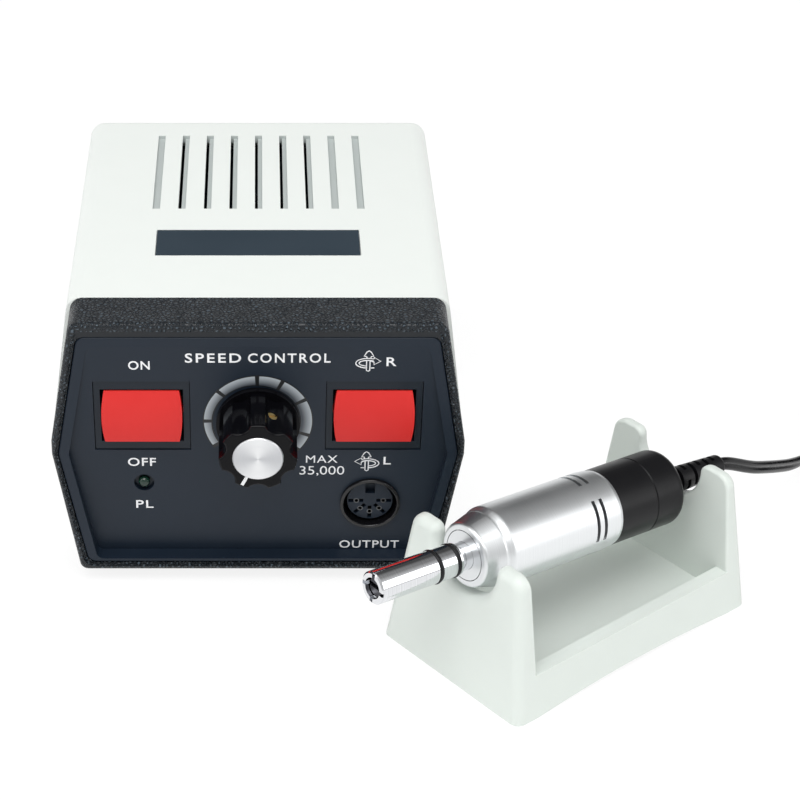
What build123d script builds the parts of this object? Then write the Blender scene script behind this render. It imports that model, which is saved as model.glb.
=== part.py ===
from build123d import *
import math
import os

os.makedirs("parts", exist_ok=True)

# A bench micromotor set: control box, moulded holder, and the motor handpiece that lies in the holder.
# Millimetres, +Z up, the bench at zero, the origin under the middle of the set. Fronts face -Y.

# Where the two standing pieces are
box_x = -36.74  # centre line of the control box
box_y = -33.8  # plane of the box's front rim
holder_x = 25.86  # front corner of the holder
holder_y = -94.0
holder_turn = 38.45  # its long side, degrees from X

# Control box, outside
tray_low_width = 92.8
tray_flare = 6.2  # how far each side leans out from the tray's foot to the parting line
box_width = tray_low_width + 2 * tray_flare  # at the parting line, its widest place
box_depth = 121.1
box_top = 78.3
underside = 4.0  # height of the tray's underside on its feet
cover_top_width = 96.0
bezel_step_top = 1.1  # the bezel is this much narrower on each side
bezel_top_width = cover_top_width - 2 * bezel_step_top
waist_top = 43.7  # the short upright band round the widest place
parting = 41.8
waist_low = 39.8
wall = 2.4
bezel_depth = 13.6
cover_corner = 4.2
tray_corner = 3.0
tray_rear_corner = 2.5
bezel_corner = 3.5
bezel_low_corner = 2.2
rear_corner = 3.4
bezel_round = 1.2
mouth_steps = 2  # thin ledges round the opening, down to the panel's rim
mouth_step_top = 0.9
mouth_step_side = 0.35
mouth_step_depth = 0.35
bezel_rim_top = 4.2  # the bezel's front face, above the panel
bezel_rim_low = 2.3  # and under it
bezel_side_top = 1.8  # and beside it, at three heights
bezel_side_waist = 1.6
bezel_side_low = 2.0

# Front panel: a rim with a field inside it that leans back towards its foot
panel_top_width = bezel_top_width - 2 * bezel_side_top
panel_waist_width = box_width - 2 * bezel_side_waist
panel_low_width = tray_low_width - 2 * bezel_side_low
panel_top = box_top - bezel_rim_top
panel_low = underside + bezel_rim_low
panel_depth = 8.0
panel_rim_top = 2.6  # the panel's own rim, round the field
panel_rim_low = 1.3
panel_side_top = 2.5
panel_side_waist = 2.7
panel_side_low = 2.4
panel_corner = 2.6
rim_setback = 0.6
rim_round = 0.5
field_top_width = panel_top_width - 2 * panel_side_top
field_waist_width = panel_waist_width - 2 * panel_side_waist
field_low_width = panel_low_width - 2 * panel_side_low
field_top = panel_top - panel_rim_top
field_low = panel_low + panel_rim_low
field_sink = 4.1
field_corner = 2.0
plate = 2.4  # thickness of the leaning field
rib_share = 0.985  # width of the hollow behind the field, of the field's

# What the panel carries: places across the box and heights
switch_x = 29.35
switch_z = 50.5
recess_width = 24.5
recess_height = 21.2
recess_sink = 1.3
knob_z = 49.0
lamp_x = -29.4
lamp_z = 29.5
socket_x = 29.1
socket_z = 23.0

# Fits
gap = 0.2  # between pieces that don't move
slip = 0.05  # radial, where something turns or slides
cut = 1.0  # overrun of every cut

lean = math.atan2(field_sink, field_top - field_low)
outward = (0, -math.cos(lean), -math.sin(lean))


def facing(y):
    """An upright plane that faces the user, y behind the front rim: its x is across the box, its y is the height."""
    return Plane(origin=(box_x, box_y + y, 0), x_dir=(1, 0, 0), z_dir=(0, -1, 0))


def on_field(x, z, off=0):
    """A plane on the leaning field at x across and height z, moved outwards by off."""
    y = rim_setback + (field_top - z) * math.tan(lean)
    return Plane(origin=(box_x + x, box_y + y, z), x_dir=(1, 0, 0), z_dir=outward).offset(off)


def spun(plane, angle):
    """The same plane with its x turned about its normal, in degrees."""
    a = math.radians(angle)
    return Plane(
        origin=plane.origin,
        x_dir=plane.x_dir * math.cos(a) + plane.y_dir * math.sin(a),
        z_dir=plane.z_dir,
    )


def level(z):
    """A level plane with the box's centre line and front rim as its zero."""
    return Plane(origin=(box_x, box_y, z), x_dir=(1, 0, 0), z_dir=(0, 0, 1))


# The cover: a shell with slots over the transformer, a sunk place for a plate, and posts for the case screws.
vent_count = 9
vent_pitch = 6.9
vent_width = 1.7
vent_ledge = 0.9  # the step on the right of each slot
vent_sink = 1.1
vent_front = 63.2
vent_back = 109.9
vents_open = range(1, 7)  # the outer ones are only grooves
name_width = 53.6
name_front = 36.2
name_back = 50.8
name_sink = 0.8
post_inset = 7.4  # from the tray's foot
post_x = tray_low_width / 2 - post_inset
post_front = 36.0
post_back = 108.0
post_radius = 3.6
screw_radius = 1.5
screw_head = 2.8
screw_head_height = 2.2
screw_seat = 28.0  # height of the face that the screw heads clamp
screw_reach = 9.0  # how far a screw goes into the cover
window_side = 7.4  # beside the rear window, from the tray's foot
window_width = tray_low_width - 2 * window_side
window_low = 14.0
window_top = 68.0

with BuildPart() as top_cover:
    with BuildSketch(facing(bezel_depth)) as cover_end:
        with BuildLine():
            Polyline(
                (-box_width / 2, parting),
                (-box_width / 2, waist_top),
                (-cover_top_width / 2, box_top),
                (cover_top_width / 2, box_top),
                (box_width / 2, waist_top),
                (box_width / 2, parting),
                close=True,
            )
        make_face()
        fillet(cover_end.vertices().group_by(Axis.Y)[-1], radius=cover_corner)
    extrude(amount=bezel_depth - box_depth)
    rear = top_cover.faces().sort_by(Axis.Y)[-1]
    fillet(rear.edges().sort_by(Axis.Z)[1:], radius=rear_corner)
    with BuildSketch(facing(bezel_depth)) as cover_room:
        with BuildLine():
            Polyline(
                (wall - box_width / 2, parting),
                (wall - box_width / 2, waist_top),
                (wall - cover_top_width / 2, box_top - wall),
                (cover_top_width / 2 - wall, box_top - wall),
                (box_width / 2 - wall, waist_top),
                (box_width / 2 - wall, parting),
                close=True,
            )
        make_face()
        fillet(cover_room.vertices().group_by(Axis.Y)[-1], radius=cover_corner - wall)
    extrude(amount=bezel_depth - box_depth + wall, mode=Mode.SUBTRACT)
    with BuildSketch(level(box_top - wall)):
        with Locations(*((x, y) for x in (-post_x, post_x) for y in (post_front, post_back))):
            Circle(post_radius)
    extrude(amount=parting + wall - box_top)
    with BuildSketch(level(parting)):
        with Locations(*((x, y) for x in (-post_x, post_x) for y in (post_front, post_back))):
            Circle(screw_radius + slip)
    extrude(amount=screw_reach + cut, mode=Mode.SUBTRACT)
    with BuildSketch(facing(box_depth)):
        with Locations((0, (parting + window_top) / 2)):
            Rectangle(window_width, window_top - parting)
    extrude(amount=wall + cut, mode=Mode.SUBTRACT)
    with BuildSketch(level(box_top)):
        with Locations((0, (vent_front + vent_back) / 2)):
            with GridLocations(vent_pitch, 0, vent_count, 1):
                Rectangle(vent_width, vent_back - vent_front)
            with Locations((vent_width / 2, 0)):
                with GridLocations(vent_pitch, 0, vent_count, 1):
                    Rectangle(2 * vent_ledge, vent_back - vent_front)
    extrude(amount=-vent_sink, mode=Mode.SUBTRACT)
    with BuildSketch(level(box_top)):
        for n in vents_open:
            with Locations(((n - (vent_count - 1) / 2) * vent_pitch, (vent_front + vent_back) / 2)):
                Rectangle(vent_width, vent_back - vent_front)
    extrude(amount=-wall - cut, mode=Mode.SUBTRACT)
    with BuildSketch(level(box_top)):
        with Locations((0, (name_front + name_back) / 2)):
            Rectangle(name_width, name_back - name_front)
    extrude(amount=-name_sink, mode=Mode.SUBTRACT)
top_cover.part.label = "top_cover"
export_step(top_cover.part, "parts/top_cover.step")

with BuildPart() as name_plate:
    with BuildSketch(level(box_top)):
        with Locations((0, (name_front + name_back) / 2)):
            Rectangle(name_width - 2 * gap, name_back - name_front - 2 * gap)
    extrude(amount=-name_sink)
name_plate.part.label = "name_plate"
export_step(name_plate.part, "parts/name_plate.step")

# The tray under it: sides that lean in to the foot, screw posts, bosses for the circuit board, seats for the feet.
floor_top = underside + wall
foot_inset = 15.4
foot_x = tray_low_width / 2 - foot_inset
foot_front = 20.0
foot_back = 104.0
foot_radius = 6.0
foot_seat = 0.5  # how deep a foot sits in the underside
board_x = 4.0  # left edge of the circuit board
board_width = 28.0
board_front = 40.0
board_length = 50.0
board_height = 13.0  # underside of the board
board_thickness = 1.6
board_inset = 3.5  # of its four fixings
boss_radius = 3.0
board_spots = [
    (x, y)
    for x in (board_x + board_inset, board_x + board_width - board_inset)
    for y in (board_front + board_inset, board_front + board_length - board_inset)
]
foot_spots = [(x, y) for x in (-foot_x, foot_x) for y in (foot_front, foot_back)]
post_spots = [(x, y) for x in (-post_x, post_x) for y in (post_front, post_back)]

with BuildPart() as base_tray:
    with BuildSketch(facing(bezel_depth)) as tray_end:
        with BuildLine():
            Polyline(
                (-box_width / 2, parting),
                (-box_width / 2, waist_low),
                (-tray_low_width / 2, underside),
                (tray_low_width / 2, underside),
                (box_width / 2, waist_low),
                (box_width / 2, parting),
                close=True,
            )
        make_face()
        fillet(tray_end.vertices().group_by(Axis.Y)[0], radius=tray_corner)
    extrude(amount=bezel_depth - box_depth)
    rear = base_tray.faces().sort_by(Axis.Y)[-1]
    fillet(rear.edges().sort_by(Axis.Z)[:-1], radius=tray_rear_corner)
    with BuildSketch(facing(bezel_depth)):
        with BuildLine():
            Polyline(
                (wall - box_width / 2, parting),
                (wall - box_width / 2, waist_low),
                (wall - tray_low_width / 2, floor_top),
                (tray_low_width / 2 - wall, floor_top),
                (box_width / 2 - wall, waist_low),
                (box_width / 2 - wall, parting),
                close=True,
            )
        make_face()
    extrude(amount=bezel_depth - box_depth + wall, mode=Mode.SUBTRACT)
    with BuildSketch(level(floor_top)):
        with Locations(*post_spots):
            Circle(post_radius)
    extrude(amount=parting - floor_top)
    with BuildSketch(level(floor_top)):
        with Locations(*board_spots):
            Circle(boss_radius)
    extrude(amount=board_height - floor_top)
    with BuildSketch(level(underside)):
        with Locations(*post_spots):
            Circle(screw_radius + gap)
    extrude(amount=parting, mode=Mode.SUBTRACT)
    with BuildSketch(level(underside)):
        with Locations(*post_spots):
            Circle(screw_head + gap)
    extrude(amount=screw_seat - underside - screw_head_height, mode=Mode.SUBTRACT)
    with BuildSketch(level(screw_seat)):
        with Locations(*post_spots):
            Circle(screw_head + gap)
    extrude(amount=-screw_head_height - cut, mode=Mode.SUBTRACT)
    with BuildSketch(level(underside)):
        with Locations(*foot_spots):
            Circle(foot_radius + gap)
    extrude(amount=foot_seat, mode=Mode.SUBTRACT)
    with BuildSketch(facing(box_depth)):
        with Locations((0, (parting + window_low) / 2)):
            Rectangle(window_width, parting - window_low)
    extrude(amount=wall + cut, mode=Mode.SUBTRACT)
base_tray.part.label = "base_tray"
export_step(base_tray.part, "parts/base_tray.step")

with BuildPart() as rubber_feet:
    for x, y in foot_spots:
        with BuildSketch(level(0)):
            with Locations((x, y)):
                Circle(foot_radius)
        extrude(amount=underside + foot_seat)
        hollow = foot_radius / 3
        with BuildSketch(level(0)):
            with Locations((x, y)):
                Circle(hollow)
        extrude(amount=foot_seat, mode=Mode.SUBTRACT)
rubber_feet.part.label = "rubber_feet"
export_step(rubber_feet.part, "parts/rubber_feet.step")

with BuildPart() as case_screws:
    with BuildSketch(level(screw_seat)):
        with Locations(*post_spots):
            Circle(screw_head)
    extrude(amount=-screw_head_height)
    with BuildSketch(level(screw_seat)):
        with Locations(*post_spots):
            Circle(screw_radius)
    extrude(amount=parting + screw_reach - screw_seat)
case_screws.part.label = "case_screws"
export_step(case_screws.part, "parts/case_screws.step")

# The frame round the front, six-sided like the box, with the panel let into it.
with BuildPart() as front_bezel:
    with BuildSketch(facing(0)) as bezel_end:
        with BuildLine():
            Polyline(
                (-bezel_top_width / 2, box_top),
                (-box_width / 2, waist_top),
                (-box_width / 2, waist_low),
                (-tray_low_width / 2, underside),
                (tray_low_width / 2, underside),
                (box_width / 2, waist_low),
                (box_width / 2, waist_top),
                (bezel_top_width / 2, box_top),
                close=True,
            )
        make_face()
        fillet(bezel_end.vertices().group_by(Axis.Y)[-1], radius=bezel_corner)
        fillet(bezel_end.vertices().group_by(Axis.Y)[0], radius=bezel_low_corner)
    extrude(amount=-bezel_depth)
    fillet(front_bezel.faces().sort_by(Axis.Y)[0].edges(), radius=bezel_round)
    for step in range(mouth_steps + 1):
        aside_by = step * mouth_step_side
        with BuildSketch(facing(0)) as mouth:
            with BuildLine():
                Polyline(
                    (-panel_top_width / 2 - aside_by, panel_top + step * mouth_step_top),
                    (-panel_waist_width / 2 - aside_by, waist_low),
                    (-panel_low_width / 2 - aside_by, panel_low - aside_by),
                    (panel_low_width / 2 + aside_by, panel_low - aside_by),
                    (panel_waist_width / 2 + aside_by, waist_low),
                    (panel_top_width / 2 + aside_by, panel_top + step * mouth_step_top),
                    close=True,
                )
            make_face()
            fillet(mouth.vertices(), radius=panel_corner)
            offset(amount=gap)
        ledge = (mouth_steps + 1 - step) * mouth_step_depth
        extrude(amount=-(ledge if step else bezel_depth), mode=Mode.SUBTRACT)
front_bezel.part.label = "front_bezel"
export_step(front_bezel.part, "parts/front_bezel.step")

# Switches: a black body let into the panel and a wide convex rocker on two pins.
body_width = 23.0
body_height = 18.4
body_depth = 18.0
flange = 1.0  # the body's thin frame on the floor of the recess
rocker_room_width = 21.0
rocker_room_height = 16.0
rocker_room_depth = 8.0
rocker_width = 20.4  # at the middle
rocker_end_width = 18.9
rocker_height = 14.6
rocker_face = 1.6  # how far its middle stands out of the field, half tipped
rocker_crown = 0.7
rocker_foot_height = 13.2
rocker_foot = 4.5
rocker_swing = 7.0  # degrees each way
pivot_sink = 3.4
pin_radius = 1.0
pin_reach = 11.3
blade_width = 4.8
blade_thickness = 0.8
blade_length = 7.0
blade_pitch = 6.0
body_floor = recess_sink + body_depth  # back face of the body, from the field

# Speed control: a potentiometer behind the panel, its shaft, and the knob on the shaft.
shaft_radius = 3.0
bush_radius = 3.5
bush_reach = 4.2
pot_radius = 8.5
pot_depth = 9.0
shaft_back = 9.0
shaft_front = 13.0
nut_across = 10.0
nut_height = 2.0
knob_clear = 0.4  # between the knob's skirt and the field
skirt_radius = 10.6
skirt_height = 1.6
knob_radius = 9.8
knob_front = 16.0
knob_lobes = 7
scoop_radius = 3.4
scoop_bite = 1.5
knob_edge = 0.6
hub_radius = 6.8
hub_depth = 4.6
cap_radius = 6.35
cap_sink = 0.5
cap_height = 0.9
pointer_angle = 154.3  # anticlockwise from the top: the zero of the dial
pointer_width = 1.0
pointer_depth = 0.3
pointer_reach = 9.3
set_screw_radius = 1.3
set_screw_height = 8.4
set_screw_length = 3.0

# Lamp and output socket
lamp_radius = 1.5
lamp_reach = 0.7
lamp_back = 5.0
holder_radius = 2.5
holder_back = 7.0
holder_flange = 3.6
ring_radius = 7.8
ring_height = 1.0
shell_radius = 7.4
shell_bore = 6.9
shell_back = 9.0
shell_floor = 1.0
shell_hole = 5.4
insert_radius = 5.9
insert_front = 0.8
insert_flange = 1.5
key_width = 2.2
key_depth = 1.6
pin_circle = 3.5
contact_radius = 0.72
contact_bore = 0.5
contact_back = 13.0
contact_count = 5

with BuildPart() as front_panel:
    with BuildSketch(facing(rim_setback)) as panel_end:
        with BuildLine():
            Polyline(
                (-panel_top_width / 2, panel_top),
                (-panel_waist_width / 2, waist_low),
                (-panel_low_width / 2, panel_low),
                (panel_low_width / 2, panel_low),
                (panel_waist_width / 2, waist_low),
                (panel_top_width / 2, panel_top),
                close=True,
            )
        make_face()
        fillet(panel_end.vertices(), radius=panel_corner)
    extrude(amount=-panel_depth)
    fillet(front_panel.faces().sort_by(Axis.Y)[0].edges(), radius=rim_round)
    for share, off, amount in ((1, 0, panel_depth), (rib_share, -plate, -panel_depth)):
        with BuildSketch(on_field(0, field_low, off)) as field_end:
            with BuildLine():
                Polyline(
                    (-field_top_width * share / 2, (field_top - field_low) / math.cos(lean)),
                    (-field_waist_width * share / 2, (waist_low - field_low) / math.cos(lean)),
                    (-field_low_width * share / 2, 0),
                    (field_low_width * share / 2, 0),
                    (field_waist_width * share / 2, (waist_low - field_low) / math.cos(lean)),
                    (field_top_width * share / 2, (field_top - field_low) / math.cos(lean)),
                    close=True,
                )
            make_face()
            fillet(field_end.vertices(), radius=field_corner)
        extrude(amount=amount, mode=Mode.SUBTRACT)
    for x in (-switch_x, switch_x):
        with BuildSketch(on_field(x, switch_z)):
            Rectangle(recess_width, recess_height)
        extrude(amount=-recess_sink, mode=Mode.SUBTRACT)
        with BuildSketch(on_field(x, switch_z)):
            Rectangle(body_width + 2 * gap, body_height + 2 * gap)
        extrude(amount=-plate - cut, mode=Mode.SUBTRACT)
    for x, z, radius in (
        (0, knob_z, bush_radius),
        (lamp_x, lamp_z, holder_radius),
        (socket_x, socket_z, shell_radius),
    ):
        with BuildSketch(on_field(x, z)):
            Circle(radius + gap / 2)
        extrude(amount=-plate - cut, mode=Mode.SUBTRACT)
front_panel.part.label = "front_panel"
export_step(front_panel.part, "parts/front_panel.step")


def switch_body(x):
    """The body at x: a thin frame in the recess, a box behind it, and the room that the rocker swings in."""
    with BuildPart() as body:
        with BuildSketch(on_field(x, switch_z, -recess_sink)):
            Rectangle(recess_width - 2 * gap, recess_height - 2 * gap)
        extrude(amount=flange)
        with BuildSketch(on_field(x, switch_z, -recess_sink)):
            Rectangle(body_width, body_height)
        extrude(amount=-body_depth)
        with BuildSketch(on_field(x, switch_z)):
            Rectangle(rocker_room_width, rocker_room_height)
        extrude(amount=-recess_sink - rocker_room_depth, mode=Mode.SUBTRACT)
        pivot = on_field(x, switch_z, -pivot_sink)
        with BuildSketch(Plane(origin=pivot.origin, x_dir=pivot.y_dir, z_dir=(1, 0, 0))):
            Circle(pin_radius + slip)
        extrude(amount=body_width / 2 + cut, both=True, mode=Mode.SUBTRACT)
        with BuildSketch(on_field(x, switch_z, -body_floor)):
            with GridLocations(blade_pitch, blade_pitch, 2, 3):
                Rectangle(blade_width, blade_thickness)
        extrude(amount=-blade_length)
    return body.part


def rocker(x):
    """The rocker at x, tipped so that its top end is pressed in."""
    rest = on_field(x, switch_z, -pivot_sink)
    tip = math.radians(rocker_swing)
    pivot = Plane(
        origin=rest.origin,
        x_dir=rest.x_dir,
        z_dir=rest.z_dir * math.cos(tip) + rest.y_dir * math.sin(tip),
    )
    face = pivot_sink + rocker_face
    with BuildPart() as key:
        with BuildSketch(pivot.offset(-rocker_foot + pivot_sink)) as plan:
            with BuildLine():
                for side in (-1, 1):
                    ThreePointArc(
                        (side * rocker_end_width / 2, -rocker_height / 2),
                        (side * rocker_width / 2, 0),
                        (side * rocker_end_width / 2, rocker_height / 2),
                    )
                for end in (-1, 1):
                    Line(
                        (-rocker_end_width / 2, end * rocker_height / 2),
                        (rocker_end_width / 2, end * rocker_height / 2),
                    )
            make_face()
        extrude(amount=rocker_foot + rocker_face)
        with BuildSketch(Plane(origin=pivot.origin, x_dir=pivot.y_dir, z_dir=(1, 0, 0))):
            with BuildLine():
                crown = ThreePointArc(
                    (-rocker_height / 2, face - rocker_crown),
                    (0, face),
                    (rocker_height / 2, face - rocker_crown),
                )
                Polyline(
                    crown @ 1,
                    (rocker_foot_height / 2, pivot_sink - rocker_foot),
                    (-rocker_foot_height / 2, pivot_sink - rocker_foot),
                    crown @ 0,
                )
            make_face()
        extrude(amount=rocker_width, both=True, mode=Mode.INTERSECT)
        with BuildSketch(Plane(origin=pivot.origin, x_dir=pivot.y_dir, z_dir=(1, 0, 0))):
            Circle(pin_radius)
        extrude(amount=pin_reach, both=True)
    return key.part


with BuildPart() as power_switch_body:
    add(switch_body(-switch_x))
power_switch_body.part.label = "power_switch_body"
export_step(power_switch_body.part, "parts/power_switch_body.step")

with BuildPart() as direction_switch_body:
    add(switch_body(switch_x))
direction_switch_body.part.label = "direction_switch_body"
export_step(direction_switch_body.part, "parts/direction_switch_body.step")

with BuildPart() as power_rocker:
    add(rocker(-switch_x))
power_rocker.part.label = "power_rocker"
export_step(power_rocker.part, "parts/power_rocker.step")

with BuildPart() as direction_rocker:
    add(rocker(switch_x))
direction_rocker.part.label = "direction_rocker"
export_step(direction_rocker.part, "parts/direction_rocker.step")

with BuildPart() as speed_pot_body:
    with BuildSketch(on_field(0, knob_z, -plate)):
        Circle(pot_radius)
    extrude(amount=-pot_depth)
    with BuildSketch(on_field(0, knob_z, -plate)):
        Circle(bush_radius)
    extrude(amount=plate + bush_reach)
    with BuildSketch(on_field(0, knob_z)):
        RegularPolygon(nut_across / 2, 6, major_radius=False)
    extrude(amount=nut_height)
    with BuildSketch(on_field(0, knob_z, bush_reach)):
        Circle(shaft_radius + slip)
    extrude(amount=-bush_reach - shaft_back - gap, mode=Mode.SUBTRACT)
speed_pot_body.part.label = "speed_pot_body"
export_step(speed_pot_body.part, "parts/speed_pot_body.step")

with BuildPart() as speed_pot_shaft:
    with BuildSketch(on_field(0, knob_z, -shaft_back)):
        Circle(shaft_radius)
    extrude(amount=shaft_back + shaft_front)
speed_pot_shaft.part.label = "speed_pot_shaft"
export_step(speed_pot_shaft.part, "parts/speed_pot_shaft.step")

flute_angle = 90 - 180 / knob_lobes  # the flute on the upper right, from the x direction
screw_plane = spun(on_field(0, knob_z, set_screw_height), flute_angle)
screw_bed = Plane(origin=screw_plane.origin, x_dir=screw_plane.y_dir, z_dir=screw_plane.x_dir)

with BuildPart() as speed_knob:
    with BuildSketch(on_field(0, knob_z, knob_clear)):
        Circle(skirt_radius)
    extrude(amount=skirt_height)
    with BuildSketch(on_field(0, knob_z, knob_clear)):
        Circle(knob_radius)
        flutes = knob_radius + scoop_radius - scoop_bite
        with PolarLocations(flutes, knob_lobes, start_angle=flute_angle):
            Circle(scoop_radius, mode=Mode.SUBTRACT)
    extrude(amount=knob_front - knob_clear)
    crown_face = speed_knob.faces().filter_by(Plane(origin=(0, 0, 0), z_dir=outward)).sort_by(Axis.Y)[0]
    fillet(crown_face.edges(), radius=knob_edge)
    with BuildSketch(on_field(0, knob_z, knob_front)):
        Circle(cap_radius + slip)
    extrude(amount=-cap_sink, mode=Mode.SUBTRACT)
    with BuildSketch(spun(on_field(0, knob_z, knob_front), 90 + pointer_angle)):
        with Locations(((cap_radius + pointer_reach) / 2, 0)):
            Rectangle(pointer_reach - cap_radius, pointer_width)
    extrude(amount=-pointer_depth, mode=Mode.SUBTRACT)
    with BuildSketch(on_field(0, knob_z, knob_clear)):
        Circle(hub_radius)
    extrude(amount=hub_depth, mode=Mode.SUBTRACT)
    with BuildSketch(on_field(0, knob_z, knob_clear)):
        Circle(shaft_radius + slip)
    extrude(amount=shaft_front + gap - knob_clear, mode=Mode.SUBTRACT)
    with BuildSketch(screw_bed):
        Circle(set_screw_radius + slip)
    extrude(amount=knob_radius, mode=Mode.SUBTRACT)
speed_knob.part.label = "speed_knob"
export_step(speed_knob.part, "parts/speed_knob.step")

with BuildPart() as knob_cap:
    with BuildSketch(on_field(0, knob_z, knob_front - cap_sink)):
        Circle(cap_radius)
    extrude(amount=cap_height)
    chamfer(knob_cap.faces().sort_by(Axis.Y)[0].edges(), length=cap_height / 4)
knob_cap.part.label = "knob_cap"
export_step(knob_cap.part, "parts/knob_cap.step")

with BuildPart() as knob_set_screw:
    with BuildSketch(screw_bed.offset(shaft_radius + 2 * slip)):
        Circle(set_screw_radius)
    extrude(amount=set_screw_length)
    with BuildSketch(screw_bed.offset(shaft_radius + 2 * slip + set_screw_length)):
        Rectangle(2 * set_screw_radius, set_screw_radius / 3)
    extrude(amount=-set_screw_radius / 2, mode=Mode.SUBTRACT)
knob_set_screw.part.label = "knob_set_screw"
export_step(knob_set_screw.part, "parts/knob_set_screw.step")

with BuildPart() as power_lamp:
    with BuildSketch(on_field(lamp_x, lamp_z, -lamp_back)):
        Circle(lamp_radius)
    extrude(amount=lamp_back + lamp_reach)
    fillet(power_lamp.faces().sort_by(Axis.Y)[0].edges(), radius=lamp_radius * 0.9)
power_lamp.part.label = "power_lamp"
export_step(power_lamp.part, "parts/power_lamp.step")

with BuildPart() as lamp_holder:
    with BuildSketch(on_field(lamp_x, lamp_z, -holder_back)):
        Circle(holder_radius)
        Circle(lamp_radius + slip, mode=Mode.SUBTRACT)
    extrude(amount=holder_back - plate / 2)
    with BuildSketch(on_field(lamp_x, lamp_z, -plate)):
        Circle(holder_flange)
        Circle(holder_radius, mode=Mode.SUBTRACT)
    extrude(amount=-plate)
lamp_holder.part.label = "lamp_holder"
export_step(lamp_holder.part, "parts/lamp_holder.step")

with BuildPart() as output_socket_shell:
    with BuildSketch(on_field(socket_x, socket_z)):
        Circle(ring_radius)
        Circle(shell_bore, mode=Mode.SUBTRACT)
    extrude(amount=ring_height)
    fillet(output_socket_shell.edges().group_by(Axis.Y)[0], radius=ring_height / 4)
    with BuildSketch(on_field(socket_x, socket_z)):
        Circle(shell_radius)
        Circle(shell_bore, mode=Mode.SUBTRACT)
    extrude(amount=-shell_back)
    with BuildSketch(on_field(socket_x, socket_z, -shell_back)):
        Circle(shell_radius)
        Circle(shell_hole, mode=Mode.SUBTRACT)
    extrude(amount=-shell_floor)
output_socket_shell.part.label = "output_socket_shell"
export_step(output_socket_shell.part, "parts/output_socket_shell.step")

pin_spots = [
    (pin_circle * math.cos(math.radians(a)), pin_circle * math.sin(math.radians(a)))
    for a in (-180 * n / (contact_count - 1) for n in range(contact_count))
]

with BuildPart() as output_socket_insert:
    with BuildSketch(on_field(socket_x, socket_z, -shell_back)):
        Circle(shell_bore - slip)
    extrude(amount=insert_flange)
    with BuildSketch(on_field(socket_x, socket_z, -shell_back)):
        Circle(insert_radius)
    extrude(amount=shell_back - insert_front)
    with BuildSketch(on_field(socket_x, socket_z, -insert_front)):
        with Locations((0, insert_radius)):
            Rectangle(key_width, 2 * key_depth)
    extrude(amount=insert_front + insert_flange - shell_back, mode=Mode.SUBTRACT)
    with BuildSketch(on_field(socket_x, socket_z)):
        with Locations(*pin_spots):
            Circle(contact_radius)
    extrude(amount=-shell_back, mode=Mode.SUBTRACT)
output_socket_insert.part.label = "output_socket_insert"
export_step(output_socket_insert.part, "parts/output_socket_insert.step")

with BuildPart() as output_socket_contacts:
    with BuildSketch(on_field(socket_x, socket_z, -insert_front)):
        with Locations(*pin_spots):
            Circle(contact_radius)
    extrude(amount=insert_front - contact_back)
    with BuildSketch(on_field(socket_x, socket_z, -insert_front)):
        with Locations(*pin_spots):
            Circle(contact_bore)
    extrude(amount=insert_front - shell_back, mode=Mode.SUBTRACT)
output_socket_contacts.part.label = "output_socket_contacts"
export_step(output_socket_contacts.part, "parts/output_socket_contacts.step")

# The rear: a plate behind the window, with the mains cable bush, the fuse, the foot control jack and a selector.
rear_plate = 2.0
rear_border = 3.0  # how far the plate reaches past the window
rear_face = box_depth - wall  # the plate's outer face, from the front rim
rear_z = 27.0  # height of the round fittings
bush_inset = 12.0  # the bush and the fuse from the window's ends
bush_x = bush_inset - window_width / 2
cable_radius = 3.3
cable_bush_radius = 5.0
cable_bush_flange = 6.6
cable_bush_reach = 3.5
cable_bush_inside = 1.6
jack_share = 10 / 17  # the jack between the bush and the fuse
jack_radius = 5.5
jack_bore = 3.2
jack_reach = 5.0
jack_inside = 17.0
jack_floor = 2.4  # closed end of its body
jack_body_radius = 7.0
jack_nut_across = 14.0
jack_nut_height = 2.2
fuse_inset = 15.0
fuse_x = window_width / 2 - fuse_inset
jack_x = bush_x + jack_share * (fuse_x - bush_x)
fuse_holder_radius = 6.0
fuse_holder_flange = 7.2
fuse_holder_inside = 23.0
fuse_flange_height = 2.0
fuse_holder_floor = 2.4  # closed end of the holder
carrier_radius = 4.0
fuse_radius = 2.6
fuse_length = 20.0
fuse_cap_radius = 5.6
fuse_cap_height = 6.0
fuse_slot = 1.2
selector_x = 3.0
selector_z = 52.0
selector_width = 14.0
selector_height = 7.0
selector_inside = 6.0
selector_lip = 0.8
selector_slot_width = 8.4
selector_slot_height = 4.2
slider_width = 4.0
slider_height = 4.0
slider_reach = 3.4
slider_travel = 4.0


def at_rear(x, z, off=0):
    """A plane on the rear plate's outer face at x across and height z, facing backwards, moved out by off."""
    return Plane(origin=(box_x + x, box_y + rear_face, z), x_dir=(-1, 0, 0), z_dir=(0, 1, 0)).offset(off)


with BuildPart() as back_panel:
    with BuildSketch(at_rear(0, (window_low + window_top) / 2)):
        Rectangle(window_width + 2 * rear_border, window_top - window_low + 2 * rear_border)
    extrude(amount=-rear_plate)
    for x, radius in (
        (bush_x, cable_bush_radius),
        (jack_x, jack_radius),
        (fuse_x, fuse_holder_radius),
    ):
        with BuildSketch(at_rear(x, rear_z)):
            Circle(radius + gap)
        extrude(amount=-rear_plate, mode=Mode.SUBTRACT)
    with BuildSketch(at_rear(selector_x, selector_z)):
        Rectangle(selector_width + 2 * gap, selector_height + 2 * gap)
    extrude(amount=-rear_plate, mode=Mode.SUBTRACT)
back_panel.part.label = "back_panel"
export_step(back_panel.part, "parts/back_panel.step")

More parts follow.
